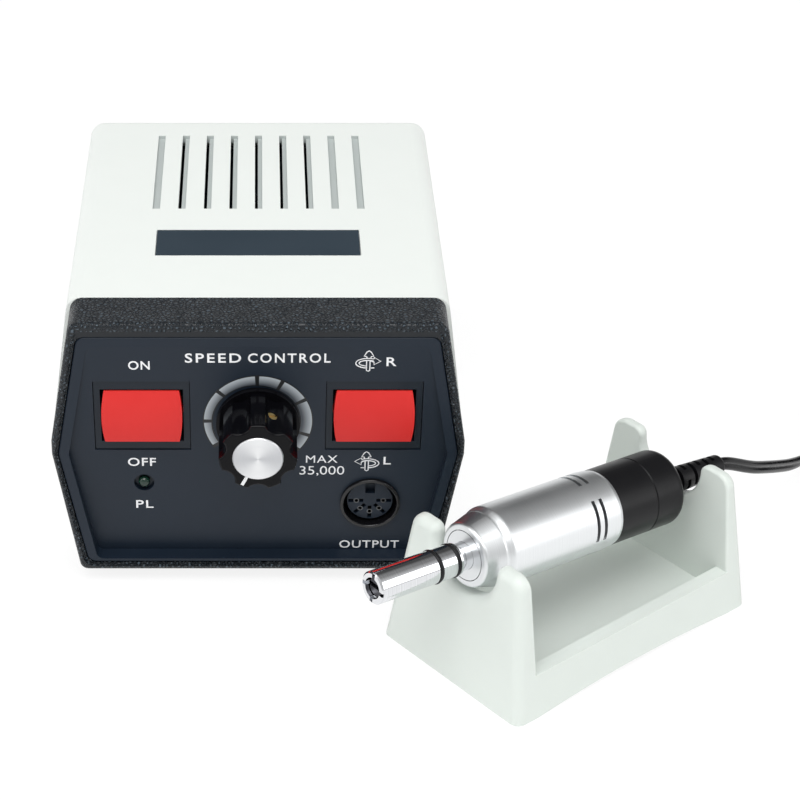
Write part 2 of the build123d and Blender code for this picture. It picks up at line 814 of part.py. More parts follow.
with BuildPart() as mains_cable_bush:
    with BuildSketch(at_rear(bush_x, rear_z)):
        Circle(cable_bush_flange)
    extrude(amount=cable_bush_reach)
    fillet(mains_cable_bush.faces().sort_by(Axis.Y)[-1].edges(), radius=cable_bush_reach / 3)
    with BuildSketch(at_rear(bush_x, rear_z)):
        Circle(cable_bush_radius)
    extrude(amount=-rear_plate)
    with BuildSketch(at_rear(bush_x, rear_z, -rear_plate)):
        Circle(cable_bush_flange)
    extrude(amount=-cable_bush_inside)
    with BuildSketch(at_rear(bush_x, rear_z, cable_bush_reach)):
        Circle(cable_radius)
    extrude(amount=-cable_bush_reach - rear_plate - cable_bush_inside, mode=Mode.SUBTRACT)
mains_cable_bush.part.label = "mains_cable_bush"
export_step(mains_cable_bush.part, "parts/mains_cable_bush.step")

with BuildPart() as foot_control_jack:
    with BuildSketch(at_rear(jack_x, rear_z, -rear_plate)):
        Circle(jack_radius)
    extrude(amount=rear_plate + jack_reach)
    with BuildSketch(at_rear(jack_x, rear_z, -rear_plate)):
        Circle(jack_body_radius)
    extrude(amount=rear_plate - jack_inside)
    with BuildSketch(at_rear(jack_x, rear_z)):
        RegularPolygon(jack_nut_across / 2, 6, major_radius=False)
    extrude(amount=jack_nut_height)
    with BuildSketch(at_rear(jack_x, rear_z, jack_reach)):
        Circle(jack_bore)
    extrude(amount=jack_floor - jack_reach - jack_inside, mode=Mode.SUBTRACT)
foot_control_jack.part.label = "foot_control_jack"
export_step(foot_control_jack.part, "parts/foot_control_jack.step")

with BuildPart() as fuse_holder:
    with BuildSketch(at_rear(fuse_x, rear_z)):
        Circle(fuse_holder_flange)
    extrude(amount=fuse_flange_height)
    with BuildSketch(at_rear(fuse_x, rear_z)):
        Circle(fuse_holder_radius)
    extrude(amount=-fuse_holder_inside)
    with BuildSketch(at_rear(fuse_x, rear_z, fuse_flange_height)):
        Circle(carrier_radius + slip)
    extrude(amount=fuse_holder_floor - fuse_flange_height - fuse_holder_inside, mode=Mode.SUBTRACT)
fuse_holder.part.label = "fuse_holder"
export_step(fuse_holder.part, "parts/fuse_holder.step")

with BuildPart() as fuse_cap:
    with BuildSketch(at_rear(fuse_x, rear_z, fuse_flange_height + slip)):
        Circle(fuse_cap_radius)
    extrude(amount=fuse_cap_height)
    chamfer(fuse_cap.faces().sort_by(Axis.Y)[-1].edges(), length=fuse_cap_height / 8)
    with BuildSketch(at_rear(fuse_x, rear_z, fuse_flange_height + fuse_cap_height + slip)):
        Rectangle(2 * fuse_cap_radius, fuse_slot)
    extrude(amount=-fuse_slot, mode=Mode.SUBTRACT)
    with BuildSketch(at_rear(fuse_x, rear_z, fuse_flange_height + slip)):
        Circle(carrier_radius)
    extrude(amount=-fuse_length / 2)
    with BuildSketch(at_rear(fuse_x, rear_z, slip)):
        Circle(fuse_radius + slip)
    extrude(amount=-fuse_length, mode=Mode.SUBTRACT)
fuse_cap.part.label = "fuse_cap"
export_step(fuse_cap.part, "parts/fuse_cap.step")

with BuildPart() as fuse:
    with BuildSketch(at_rear(fuse_x, rear_z)):
        Circle(fuse_radius)
    extrude(amount=-fuse_length)
fuse.part.label = "fuse"
export_step(fuse.part, "parts/fuse.step")

with BuildPart() as selector_switch_body:
    with BuildSketch(at_rear(selector_x, selector_z)):
        Rectangle(selector_width, selector_height)
    extrude(amount=-selector_inside)
    with BuildSketch(at_rear(selector_x, selector_z)):
        Rectangle(selector_width + 4 * selector_lip, selector_height + 2 * selector_lip)
    extrude(amount=selector_lip)
    with BuildSketch(at_rear(selector_x, selector_z, selector_lip)):
        Rectangle(selector_slot_width, selector_slot_height)
    extrude(amount=-selector_lip - selector_inside / 2, mode=Mode.SUBTRACT)
selector_switch_body.part.label = "selector_switch_body"
export_step(selector_switch_body.part, "parts/selector_switch_body.step")

with BuildPart() as selector_slider:
    with BuildSketch(at_rear(selector_x, selector_z, slip - selector_inside / 2)):
        with Locations((-slider_travel / 2, 0)):
            Rectangle(slider_width, slider_height)
    extrude(amount=selector_inside / 2 + slider_reach)
    grip = slider_reach / 4
    with BuildSketch(at_rear(selector_x, selector_z, slider_reach + slip)):
        with Locations((-slider_travel / 2, 0)):
            with GridLocations(2 * grip, 0, 2, 1):
                Rectangle(grip / 2, slider_height)
    extrude(amount=-grip / 2, mode=Mode.SUBTRACT)
selector_slider.part.label = "selector_slider"
export_step(selector_slider.part, "parts/selector_slider.step")

# Inside: the mains transformer with its strap, and the circuit board that drives the motor.
core_y = 80.0
core_length = 44.0
core_height = 37.0
core_stack = 20.0
core_leg = 7.4
tongue_share = 2  # the middle leg, of the outer ones
strap = 1.0
strap_width = 16.0
strap_foot = 7.0
coil_gap = 0.3
coil_depth = 36.0
core_x = wall + coil_depth / 2 - tray_low_width / 2

core_bottom = floor_top
window_length = (core_length - 2 * core_leg - tongue_share * core_leg) / 2
window_height = core_height - 2 * core_leg
core_middle = core_bottom + core_height / 2


def beside(x, y):
    """An upright plane along the box at x across: its x runs backwards from y, its y is the height."""
    return Plane(origin=(box_x + x, box_y + y, 0), x_dir=(0, 1, 0), z_dir=(1, 0, 0))


with BuildPart() as transformer_core:
    with BuildSketch(beside(core_x, core_y)):
        with Locations((0, core_middle)):
            Rectangle(core_length, core_height)
            with GridLocations(window_length + tongue_share * core_leg, 0, 2, 1):
                Rectangle(window_length, window_height, mode=Mode.SUBTRACT)
    extrude(amount=core_stack / 2, both=True)
transformer_core.part.label = "transformer_core"
export_step(transformer_core.part, "parts/transformer_core.step")

with BuildPart() as transformer_coil:
    with BuildSketch(level(core_middle)):
        with Locations((core_x, core_y)):
            Rectangle(coil_depth, tongue_share * core_leg + 2 * window_length - 2 * coil_gap)
            Rectangle(
                core_stack + 2 * coil_gap,
                tongue_share * core_leg + 2 * coil_gap,
                mode=Mode.SUBTRACT,
            )
    extrude(amount=window_height / 2 - coil_gap, both=True)
transformer_coil.part.label = "transformer_coil"
export_step(transformer_coil.part, "parts/transformer_coil.step")

with BuildPart() as transformer_strap:
    with BuildSketch(beside(core_x, core_y)):
        with BuildLine():
            half = core_length / 2 + gap
            Polyline(
                (-half - strap_foot, floor_top),
                (-half, floor_top),
                (-half, core_bottom + core_height + gap),
                (half, core_bottom + core_height + gap),
                (half, floor_top),
                (half + strap_foot, floor_top),
                (half + strap_foot, floor_top + strap),
                (half + strap, floor_top + strap),
                (half + strap, core_bottom + core_height + gap + strap),
                (-half - strap, core_bottom + core_height + gap + strap),
                (-half - strap, floor_top + strap),
                (-half - strap_foot, floor_top + strap),
                close=True,
            )
        make_face()
    extrude(amount=strap_width / 2, both=True)
transformer_strap.part.label = "transformer_strap"
export_step(transformer_strap.part, "parts/transformer_strap.step")

board_top = board_height + board_thickness
can_radius = 6.4
can_height = 21.0
can_step = 15.0
bridge_length = 15.0
bridge_width = 4.6
bridge_height = 11.0
sink_width = 26.0
sink_depth = 11.0
sink_height = 26.0
sink_base = 3.0
fin_count = 6
fin_thickness = 1.2
sink_y = 76.0
tab_width = 10.0
tab_thickness = 1.3
tab_height = 15.0
chip_height = 9.0
chip_thickness = 4.4
lead_height = 4.0
board_middle = board_x + board_width / 2

with BuildPart() as circuit_board:
    with BuildSketch(level(board_height)):
        with Locations((board_middle, board_front + board_length / 2)):
            Rectangle(board_width, board_length)
        with Locations(*board_spots):
            Circle(screw_radius, mode=Mode.SUBTRACT)
    extrude(amount=board_thickness)
    with BuildSketch(level(board_top)):
        with Locations((board_x + board_width - bridge_width, board_front + board_length / 2)):
            Rectangle(bridge_width, bridge_length)
    extrude(amount=bridge_height)
circuit_board.part.label = "circuit_board"
export_step(circuit_board.part, "parts/circuit_board.step")

with BuildPart() as filter_capacitors:
    with BuildSketch(level(board_top)):
        with Locations((board_middle, board_front + can_step / 2 + can_radius)):
            with GridLocations(0, can_step, 1, 2):
                Circle(can_radius)
    extrude(amount=can_height)
    fillet(filter_capacitors.edges().group_by(Axis.Z)[-1], radius=can_radius / 8)
filter_capacitors.part.label = "filter_capacitors"
export_step(filter_capacitors.part, "parts/filter_capacitors.step")

with BuildPart() as heat_sink:
    with BuildSketch(level(board_top)):
        with Locations((board_middle, sink_y + sink_base / 2)):
            Rectangle(sink_width, sink_base)
        with Locations((board_middle, sink_y + sink_depth / 2)):
            with GridLocations((sink_width - fin_thickness) / (fin_count - 1), 0, fin_count, 1):
                Rectangle(fin_thickness, sink_depth)
    extrude(amount=sink_height)
heat_sink.part.label = "heat_sink"
export_step(heat_sink.part, "parts/heat_sink.step")

with BuildPart() as power_transistor:
    with BuildSketch(level(board_top + lead_height)):
        with Locations((board_middle, sink_y - tab_thickness / 2)):
            Rectangle(tab_width, tab_thickness)
    extrude(amount=tab_height)
    with BuildSketch(level(board_top + lead_height)):
        with Locations((board_middle, sink_y - chip_thickness / 2)):
            Rectangle(tab_width, chip_thickness)
    extrude(amount=chip_height)
    with BuildSketch(level(board_top)):
        with Locations((board_middle, sink_y - chip_thickness / 2)):
            with GridLocations(tab_width / 4, 0, 3, 1):
                Rectangle(tab_thickness / 2, tab_thickness / 2)
    extrude(amount=lead_height)
power_transistor.part.label = "power_transistor"
export_step(power_transistor.part, "parts/power_transistor.step")

# The holder: two end plates with rounded posts and a notch between them, joined by a floor and two low lips.
holder_length = 82.4
holder_width = 49.6
holder_height = 38.6
holder_side_lean = 8.0  # degrees
holder_end_inset = 3.3  # how far the outer faces lean in at the top
plate_low = 7.4  # end plate, at the lip
plate_high = 7.0  # its inner face at the top, from the holder's end
notch_radius = 10.3
notch_depth = 13.2  # from the posts' tops
notch_low = holder_height - notch_depth
post_round = 4.0
post_inner_round = 2.4
lip_height = 12.0
lip_width = 3.6
trough_floor = 5.0
holder_corner = 2.6
holder_soften = 0.8  # the plates' inner edges
holder_arch = 1.5
holder_hollow = 2.4
holder_skirt = 3.2

turn = math.radians(holder_turn)
holder = Plane(
    origin=(holder_x, holder_y, 0), x_dir=(math.cos(turn), math.sin(turn), 0), z_dir=(0, 0, 1)
)
holder_end = Plane(
    origin=holder.from_local_coords((0, holder_width / 2, 0)), x_dir=holder.y_dir, z_dir=holder.x_dir
)
holder_side = Plane(origin=holder.origin, x_dir=holder.x_dir, z_dir=-holder.y_dir)
notch_z = notch_low + notch_radius
holder_top_half = holder_width / 2 - holder_height * math.tan(math.radians(holder_side_lean))
lip_half = holder_width / 2 - lip_height * math.tan(math.radians(holder_side_lean))

with BuildPart() as handpiece_holder:
    with BuildSketch(holder_end) as end_view:
        with BuildLine():
            Polyline(
                (-holder_width / 2, 0),
                (holder_width / 2, 0),
                (holder_top_half, holder_height),
                (-holder_top_half, holder_height),
                close=True,
            )
        make_face()
        with Locations((0, notch_z)):
            Circle(notch_radius, mode=Mode.SUBTRACT)
        with Locations((0, notch_z + notch_radius / 2)):
            Rectangle(2 * notch_radius, notch_radius, mode=Mode.SUBTRACT)
        tips = end_view.vertices().group_by(Axis.Y)[-1].sort_by(Axis.X)
        fillet([tips[0], tips[-1]], radius=post_round)
        tips = end_view.vertices().group_by(Axis.Y)[-1].sort_by(Axis.X)
        fillet(tips[1:3], radius=post_inner_round)
    extrude(amount=holder_length)
    with BuildSketch(holder_side):
        with BuildLine():
            Polyline(
                (0, 0),
                (holder_length, 0),
                (holder_length - holder_end_inset, holder_height),
                (holder_length - plate_high, holder_height),
                (holder_length - plate_low, lip_height),
                (plate_low, lip_height),
                (plate_high, holder_height),
                (holder_end_inset, holder_height),
                close=True,
            )
        make_face()
    extrude(amount=-holder_width, mode=Mode.INTERSECT)
    with BuildSketch(holder.offset(trough_floor)):
        with Locations((holder_length / 2, holder_width / 2)):
            Rectangle(holder_length - 2 * plate_low, 2 * (lip_half - lip_width))
    extrude(amount=lip_height, mode=Mode.SUBTRACT)
    corners = [
        e for e in handpiece_holder.edges() if abs((e @ 1 - e @ 0).Z) > holder_height - lip_height
    ]
    fillet(corners, radius=holder_corner)
    inner_faces = [
        f
        for f in handpiece_holder.faces()
        if abs(f.normal_at().dot(holder.x_dir)) > math.cos(turn)
        and plate_low / 2 < holder.to_local_coords(f.center()).X < holder_length - plate_low / 2
    ]
    inner_edges = [
        e
        for f in inner_faces
        for e in f.edges()
        if holder.to_local_coords(e @ 0.5).Z > lip_height + cut
    ]
    fillet(inner_edges, radius=holder_soften)
    with BuildSketch(holder_side):
        with BuildLine():
            ThreePointArc(
                (plate_low, 0), (holder_length / 2, holder_arch), (holder_length - plate_low, 0)
            )
            Line((holder_length - plate_low, 0), (plate_low, 0))
        make_face()
    extrude(amount=-holder_width, mode=Mode.SUBTRACT)
    with BuildSketch(holder):
        with Locations((holder_length / 2, holder_width / 2)):
            Rectangle(holder_length - 2 * plate_low, holder_width - 2 * holder_skirt)
    extrude(amount=holder_hollow, mode=Mode.SUBTRACT)
handpiece_holder.part.label = "handpiece_holder"
export_step(handpiece_holder.part, "parts/handpiece_holder.step")

# The handpiece lies in the notches, nose towards the user, a little askew, its cable end on the lower side.
# Stations run along its axis from the front notch to the rear one.
front_rest_along = 4.0  # where the axis passes the front plate: along the holder, off its middle, and under its top
front_rest_aside = 0.8
front_rest_drop = 3.2
rear_rest_along = 77.4
rear_rest_aside = -3.2
rear_rest_drop = 8.6
front_rest = holder.from_local_coords(
    (front_rest_along, holder_width / 2 + front_rest_aside, holder_height - front_rest_drop)
)
rear_rest = holder.from_local_coords(
    (rear_rest_along, holder_width / 2 + rear_rest_aside, holder_height - rear_rest_drop)
)
along = (rear_rest - front_rest).normalized()
aside = along.cross(Vector(0, 0, 1)).normalized()
hand = Plane(origin=front_rest, x_dir=along, z_dir=aside)
hand_axis = Axis(origin=front_rest, direction=along)


def around(angle):
    """The plane through the handpiece's axis whose y points at an angle from straight up, towards the near side."""
    a = math.radians(angle)
    y_dir = hand.y_dir * math.cos(a) + aside * math.sin(a)
    return Plane(origin=front_rest, x_dir=along, z_dir=along.cross(y_dir))


def across(station):
    """A plane square to the handpiece's axis at a station, facing the cable end."""
    return Plane(origin=front_rest + along * station, x_dir=aside, z_dir=along)


nose_tip = -28.2
nose_radius = 4.14
nose_bore = 2.7
nose_neck = 3.5
nose_neck_front = -3.4
nose_flange_radius = 5.1
nose_bevel = 0.4
ring_stations = (-10.1, -4.6)
ring_section = 0.55
ring_centre = 3.8
groove_width = 1.25
notch_count = 4
nose_notch_width = 1.0
nose_notch_depth = 1.3

disc_radius = 6.3
disc_thickness = 1.4
collar_radius = 8.3
collar_rear_radius = 9.5
collar_edge = 0.9
collar_rear = 5.6
collar_bore = 5.2
collar_step = 5.0
bearing_radius = 6.5
bearing_front = 5.6
bearing_width = 5.0
collar_room = 7.6
spigot_length = 5.4
spigot_radius = 8.6

barrel_radius = 10.25
barrel_bore = 9.15
barrel_shoulder = 8.2
barrel_rear = 43.4
barrel_ring_front = 40.4
barrel_ring_radius = 9.85
barrel_bevel = 0.9
vent_stations = (34.9, 37.3)
vent_slot_width = 1.0
vent_arc = 62.0
vent_sets = 4
vent_turn = 38.0

cap_body_radius = 9.9
cap_rear = 65.6
cap_wall = 1.6
cap_round = 2.2
cap_seam = 55.6
cap_seam_depth = 0.25
cap_web = 4.6
cap_spigot = 2.6
rear_bearing_radius = 5.5
rear_bearing_width = 4.0
relief_neck = 2.9
relief_collar = 4.4
relief_flange = 0.9
relief_length = 21.6
relief_radius = 3.7
relief_end_radius = 2.75
relief_grooves = 7
relief_pitch = 2.6
relief_groove = 1.1
relief_floor = 2.1  # radius at the bottom of a groove
relief_bridge = 50.0  # degrees; two bridges cross each groove, a quarter turn on from groove to groove
relief_turn = 45.0
relief_round = 1.2
cord_radius = 1.8

with BuildPart() as nose_tube:
    with BuildSketch(hand):
        with BuildLine():
            grooved = []
            for station in ring_stations:
                grooved += [
                    (station - groove_width / 2, nose_radius),
                    (station - groove_width / 2, ring_centre - ring_section - slip),
                    (station + groove_width / 2, ring_centre - ring_section - slip),
                    (station + groove_width / 2, nose_radius),
                ]
            Polyline(
                (nose_tip, nose_bore),
                (nose_tip, nose_radius - nose_bevel),
                (nose_tip + nose_bevel, nose_radius),
                *grooved,
                (nose_neck_front, nose_radius),
                (nose_neck_front + nose_bevel, nose_neck),
                (disc_thickness + gap, nose_neck),
                (disc_thickness + gap, nose_flange_radius),
                (collar_step, nose_flange_radius),
                (collar_step, nose_bore),
                close=True,
            )
        make_face()
    revolve(axis=hand_axis)
    with BuildSketch(across(nose_tip)):
        with PolarLocations(nose_bore, notch_count):
            Rectangle(nose_bore, nose_notch_width)
    extrude(amount=nose_notch_depth, mode=Mode.SUBTRACT)
nose_tube.part.label = "nose_tube"
export_step(nose_tube.part, "parts/nose_tube.step")

with BuildPart() as nose_o_rings:
    with BuildSketch(hand):
        for station in ring_stations:
            with Locations((station, ring_centre)):
                Circle(ring_section)
    revolve(axis=hand_axis)
nose_o_rings.part.label = "nose_o_rings"
export_step(nose_o_rings.part, "parts/nose_o_rings.step")

with BuildPart() as front_disc:
    with BuildSketch(hand):
        with BuildLine():
            Polyline(
                (0, nose_neck + slip),
                (0, disc_radius),
                (disc_thickness, disc_radius),
                (disc_thickness, nose_neck + slip),
                close=True,
            )
        make_face()
    revolve(axis=hand_axis)
front_disc.part.label = "front_disc"
export_step(front_disc.part, "parts/front_disc.step")

with BuildPart() as front_collar:
    with BuildSketch(hand):
        with BuildLine():
            outer_edge = Polyline(
                (0, disc_radius + gap),
                (0, collar_radius - collar_edge),
            )
            RadiusArc(outer_edge @ 1, (collar_edge, collar_radius), collar_edge)
            Polyline(
                (collar_edge, collar_radius),
                (collar_rear, collar_rear_radius),
                (collar_rear, spigot_radius),
                (collar_rear + spigot_length, spigot_radius),
                (collar_rear + spigot_length, collar_room),
                (bearing_front + bearing_width, collar_room),
                (bearing_front + bearing_width, bearing_radius),
                (bearing_front, bearing_radius),
                (bearing_front, collar_bore),
                (disc_thickness, collar_bore),
                (disc_thickness, disc_radius + gap),
                (0, disc_radius + gap),
            )
        make_face()
    revolve(axis=hand_axis)
front_collar.part.label = "front_collar"
export_step(front_collar.part, "parts/front_collar.step")

with BuildPart() as motor_barrel:
    with BuildSketch(hand):
        with BuildLine():
            shoulder = Polyline(
                (collar_rear, spigot_radius + slip),
                (collar_rear, collar_rear_radius),
            )
            swell = (barrel_shoulder - collar_rear) / 2
            rise = (barrel_radius - collar_rear_radius) / 2
            Spline(
                shoulder @ 1,
                (collar_rear + swell, collar_rear_radius + rise),
                (barrel_shoulder, barrel_radius),
                tangents=((1, 0), (1, 0)),
            )
            Polyline(
                (barrel_shoulder, barrel_radius),
                (barrel_ring_front, barrel_radius),
                (barrel_ring_front + gap, barrel_radius - gap),
                (barrel_rear - barrel_bevel, barrel_radius - gap),
                (barrel_rear, barrel_ring_radius),
                (barrel_rear, barrel_bore),
                (collar_rear + spigot_length + gap, barrel_bore),
                (collar_rear + spigot_length + gap, spigot_radius + slip),
                (collar_rear, spigot_radius + slip),
            )
        make_face()
    revolve(axis=hand_axis)
    for station in vent_stations:
        for n in range(vent_sets):
            start = vent_turn + n * 360 / vent_sets
            with BuildSketch(around(start)):
                with Locations((station, barrel_radius)):
                    Rectangle(vent_slot_width, barrel_radius - barrel_bore + 2 * cut)
            revolve(axis=hand_axis, revolution_arc=vent_arc, mode=Mode.SUBTRACT)
motor_barrel.part.label = "motor_barrel"
export_step(motor_barrel.part, "parts/motor_barrel.step")

with BuildPart() as rear_cap:
    with BuildSketch(hand) as cap_profile:
        with BuildLine():
            Polyline(
                (barrel_rear - cap_spigot, barrel_bore - cap_wall / 2),
                (barrel_rear - cap_spigot, barrel_bore - slip),
                (barrel_rear, barrel_bore - slip),
                (barrel_rear, cap_body_radius),
                (cap_seam - cap_seam_depth, cap_body_radius),
                (cap_seam, cap_body_radius - cap_seam_depth),
                (cap_seam + cap_seam_depth, cap_body_radius),
                (cap_rear, cap_body_radius),
                (cap_rear, relief_neck),
                (cap_rear - cap_wall, relief_neck),
                (cap_rear - cap_wall, cap_body_radius - cap_wall),
                (barrel_rear + cap_web + cap_wall, cap_body_radius - cap_wall),
                (barrel_rear + cap_web + cap_wall, relief_radius),
                (barrel_rear + cap_web, relief_radius),
                (barrel_rear + cap_web, rear_bearing_radius),
                (barrel_rear, rear_bearing_radius),
                (barrel_rear, barrel_bore - cap_wall / 2),
                close=True,
            )
        make_face()
        fillet(cap_profile.vertices().group_by(Axis.X)[-1].sort_by(Axis.Y)[-1], radius=cap_round)
    revolve(axis=hand_axis)
rear_cap.part.label = "rear_cap"
export_step(rear_cap.part, "parts/rear_cap.step")

with BuildPart() as strain_relief:
    with BuildSketch(hand) as relief_profile:
        with BuildLine():
            Polyline(
                (cap_rear - cap_wall - slip - relief_flange, 0),
                (cap_rear - cap_wall - slip - relief_flange, relief_collar),
                (cap_rear - cap_wall - slip, relief_collar),
                (cap_rear - cap_wall - slip, relief_neck - slip),
                (cap_rear + slip, relief_neck - slip),
                (cap_rear + slip, relief_radius),
                (cap_rear + relief_length, relief_end_radius),
                (cap_rear + relief_length, 0),
                close=True,
            )
        make_face()
        fillet(relief_profile.vertices().group_by(Axis.X)[-1].sort_by(Axis.Y)[-1], radius=relief_round)
    revolve(axis=hand_axis)
    groove_height = relief_radius + cut - relief_floor
    for n in range(relief_grooves):
        station = cap_rear + relief_groove + relief_pitch * (n + 0.5)
        for side in (0, 180):
            start = relief_turn + relief_bridge / 2 + side + 90 * (n % 2)
            with BuildSketch(around(start)):
                with Locations((station, relief_floor + groove_height / 2)):
                    Rectangle(relief_groove, groove_height)
            revolve(axis=hand_axis, revolution_arc=180 - relief_bridge, mode=Mode.SUBTRACT)
strain_relief.part.label = "strain_relief"
export_step(strain_relief.part, "parts/strain_relief.step")

# Inside the handpiece: a permanent magnet motor. The fixed half first.
armature_front = 14.0
armature_length = 17.2
armature_radius = 7.0
armature_slots = 5
armature_slot_width = 2.0
armature_slot_depth = 2.8
magnet_radius = 7.4
magnet_arc = 140.0
commutator_front = 34.4
commutator_length = 5.4
commutator_radius = 3.2
rotor_radius = 2.0
carrier_front = 34.0
carrier_rear = 40.4
carrier_bore = 4.0
brush_size = 3.2
brush_station = 37.2
brush_clear = 0.1
spring_room = 1.6
race_radius = 3.1
dog_front = -27.0
dog_length = 5.0
dog_radius = 2.4
dog_slot = 1.2

with BuildPart() as field_magnets:
    for n in range(2):
        start = n * 180 - magnet_arc / 2
        with BuildSketch(around(start)):
            with Locations((armature_front + armature_length / 2, (barrel_bore + magnet_radius) / 2)):
                Rectangle(armature_length, barrel_bore - magnet_radius)
        revolve(axis=hand_axis, revolution_arc=magnet_arc)
field_magnets.part.label = "field_magnets"
export_step(field_magnets.part, "parts/field_magnets.step")

with BuildPart() as bearing_outer_rings:
    with BuildSketch(hand):
        with Locations((bearing_front + bearing_width / 2, (bearing_radius + race_radius + slip) / 2)):
            Rectangle(bearing_width, bearing_radius - race_radius - slip)
        rear_middle = (rear_bearing_radius + race_radius + slip) / 2
        with Locations((barrel_rear + cap_web - rear_bearing_width / 2, rear_middle)):
            Rectangle(rear_bearing_width, rear_bearing_radius - race_radius - slip)
    revolve(axis=hand_axis)
bearing_outer_rings.part.label = "bearing_outer_rings"
export_step(bearing_outer_rings.part, "parts/bearing_outer_rings.step")

with BuildPart() as brush_carrier:
    with BuildSketch(hand):
        with Locations(((carrier_front + carrier_rear) / 2, (barrel_bore + carrier_bore) / 2)):
            Rectangle(carrier_rear - carrier_front, barrel_bore - carrier_bore - slip)
    revolve(axis=hand_axis)
    with BuildSketch(across(brush_station)):
        Rectangle(2 * barrel_radius, brush_size + 2 * slip)
    extrude(amount=brush_size / 2 + slip, both=True, mode=Mode.SUBTRACT)
brush_carrier.part.label = "brush_carrier"
export_step(brush_carrier.part, "parts/brush_carrier.step")

brush_inner = commutator_radius + brush_clear
brush_outer = barrel_bore - spring_room

with BuildPart() as carbon_brushes:
    with BuildSketch(across(brush_station)):
        for side in (-1, 1):
            with Locations((side * (brush_inner + brush_outer) / 2, 0)):
                Rectangle(brush_outer - brush_inner, brush_size)
    extrude(amount=brush_size / 2, both=True)
    with BuildSketch(across(brush_station)):
        for side in (-1, 1):
            with Locations((side * (brush_outer + (spring_room - slip) / 2), 0)):
                Rectangle(spring_room - slip, brush_size / 2)
    extrude(amount=brush_size / 4, both=True)
carbon_brushes.part.label = "carbon_brushes"
export_step(carbon_brushes.part, "parts/carbon_brushes.step")

# The turning half.
with BuildPart() as rotor_shaft:
    with BuildSketch(across(dog_front)):
        Circle(rotor_radius)
    extrude(amount=barrel_rear + cap_web - dog_front - gap)
    with BuildSketch(across(dog_front)):
        Circle(dog_radius)
    extrude(amount=dog_length)
    with BuildSketch(across(dog_front)):
        Rectangle(2 * dog_radius, dog_slot)
    extrude(amount=dog_length / 2, mode=Mode.SUBTRACT)
rotor_shaft.part.label = "rotor_shaft"
export_step(rotor_shaft.part, "parts/rotor_shaft.step")

with BuildPart() as bearing_inner_rings:
    for front, width in (
        (bearing_front, bearing_width),
        (barrel_rear + cap_web - rear_bearing_width, rear_bearing_width),
    ):
        with BuildSketch(across(front)):
            Circle(race_radius)
            Circle(rotor_radius, mode=Mode.SUBTRACT)
        extrude(amount=width)
bearing_inner_rings.part.label = "bearing_inner_rings"
export_step(bearing_inner_rings.part, "parts/bearing_inner_rings.step")

with BuildPart() as armature_core:
    with BuildSketch(across(armature_front)):
        Circle(armature_radius)
        Circle(rotor_radius, mode=Mode.SUBTRACT)
        with PolarLocations(armature_radius, armature_slots):
            Rectangle(2 * armature_slot_depth, armature_slot_width, mode=Mode.SUBTRACT)
    extrude(amount=armature_length)
armature_core.part.label = "armature_core"
export_step(armature_core.part, "parts/armature_core.step")

winding_radius = armature_radius - gap
winding_length = 2.4
with BuildPart() as armature_winding:
    for front in (armature_front - winding_length, armature_front + armature_length):
        with BuildSketch(across(front)):
            Circle(winding_radius)
            Circle(rotor_radius, mode=Mode.SUBTRACT)
        extrude(amount=winding_length)
armature_winding.part.label = "armature_winding"
export_step(armature_winding.part, "parts/armature_winding.step")

with BuildPart() as commutator:
    with BuildSketch(across(commutator_front)):
        Circle(commutator_radius)
        Circle(rotor_radius, mode=Mode.SUBTRACT)
        with PolarLocations(commutator_radius, armature_slots):
            Rectangle(gap, gap, mode=Mode.SUBTRACT)
    extrude(amount=commutator_length)
commutator.part.label = "commutator"
export_step(commutator.part, "parts/commutator.step")

# The cord runs from the handpiece down to the bench, and the length not in use is wound up and tied beside the holder.
cord_start = front_rest + along * (cap_rear + relief_length)
tie_thickness = 0.8
tie_gap = 0.4
tie_width = 4.0
coil_x = 155.0
coil_y = 36.0
coil_mean = 20.0  # radius of the middle turn
coil_pitch = 5.1  # from turn to turn across
coil_rise = 4.2  # from layer to layer
coil_layers = 4
layer_turns = 2.0
climb_turns = 0.5
coil_start = 150.0  # degrees; the winding runs clockwise from above
coil_low = cord_radius + tie_gap + tie_thickness
coil_outer = coil_mean + coil_pitch * layer_turns / 2
coil_inner = coil_mean - coil_pitch * layer_turns / 2
coil_total = coil_layers * layer_turns + (coil_layers - 1) * climb_turns
coil_end_run = 2 * cord_radius


def coil_at(turns):
    """Centre of the wound cord after some turns, and the direction that it runs in there."""
    period = layer_turns + climb_turns
    layer = min(int(turns / period + 1e-6), coil_layers - 1)
    inside = turns - layer * period
    inwards = layer % 2 == 0
    done = min(inside / layer_turns, 1)
    radius = coil_outer + (coil_inner - coil_outer) * (done if inwards else 1 - done)
    climbed = max(inside - layer_turns, 0) / climb_turns
    angle = math.radians(coil_start - 360 * turns)
    point = Vector(
        coil_x + radius * math.cos(angle),
        coil_y + radius * math.sin(angle),
        coil_low + coil_rise * (layer + climbed),
    )
    steady = 1e-6 < inside < layer_turns - 1e-6
    drift = (coil_inner - coil_outer) / layer_turns * (1 if inwards else -1) if steady else 0
    sweep_speed = 2 * math.pi * radius
    direction = Vector(
        drift * math.cos(angle) + sweep_speed * math.sin(angle),
        drift * math.sin(angle) - sweep_speed * math.cos(angle),
        0,
    ).normalized()
    return point, direction


entry, entry_way = coil_at(0)
leave, leave_way = coil_at(coil_total)
coil_first = entry - entry_way * coil_end_run
coil_last = leave + leave_way * coil_end_run

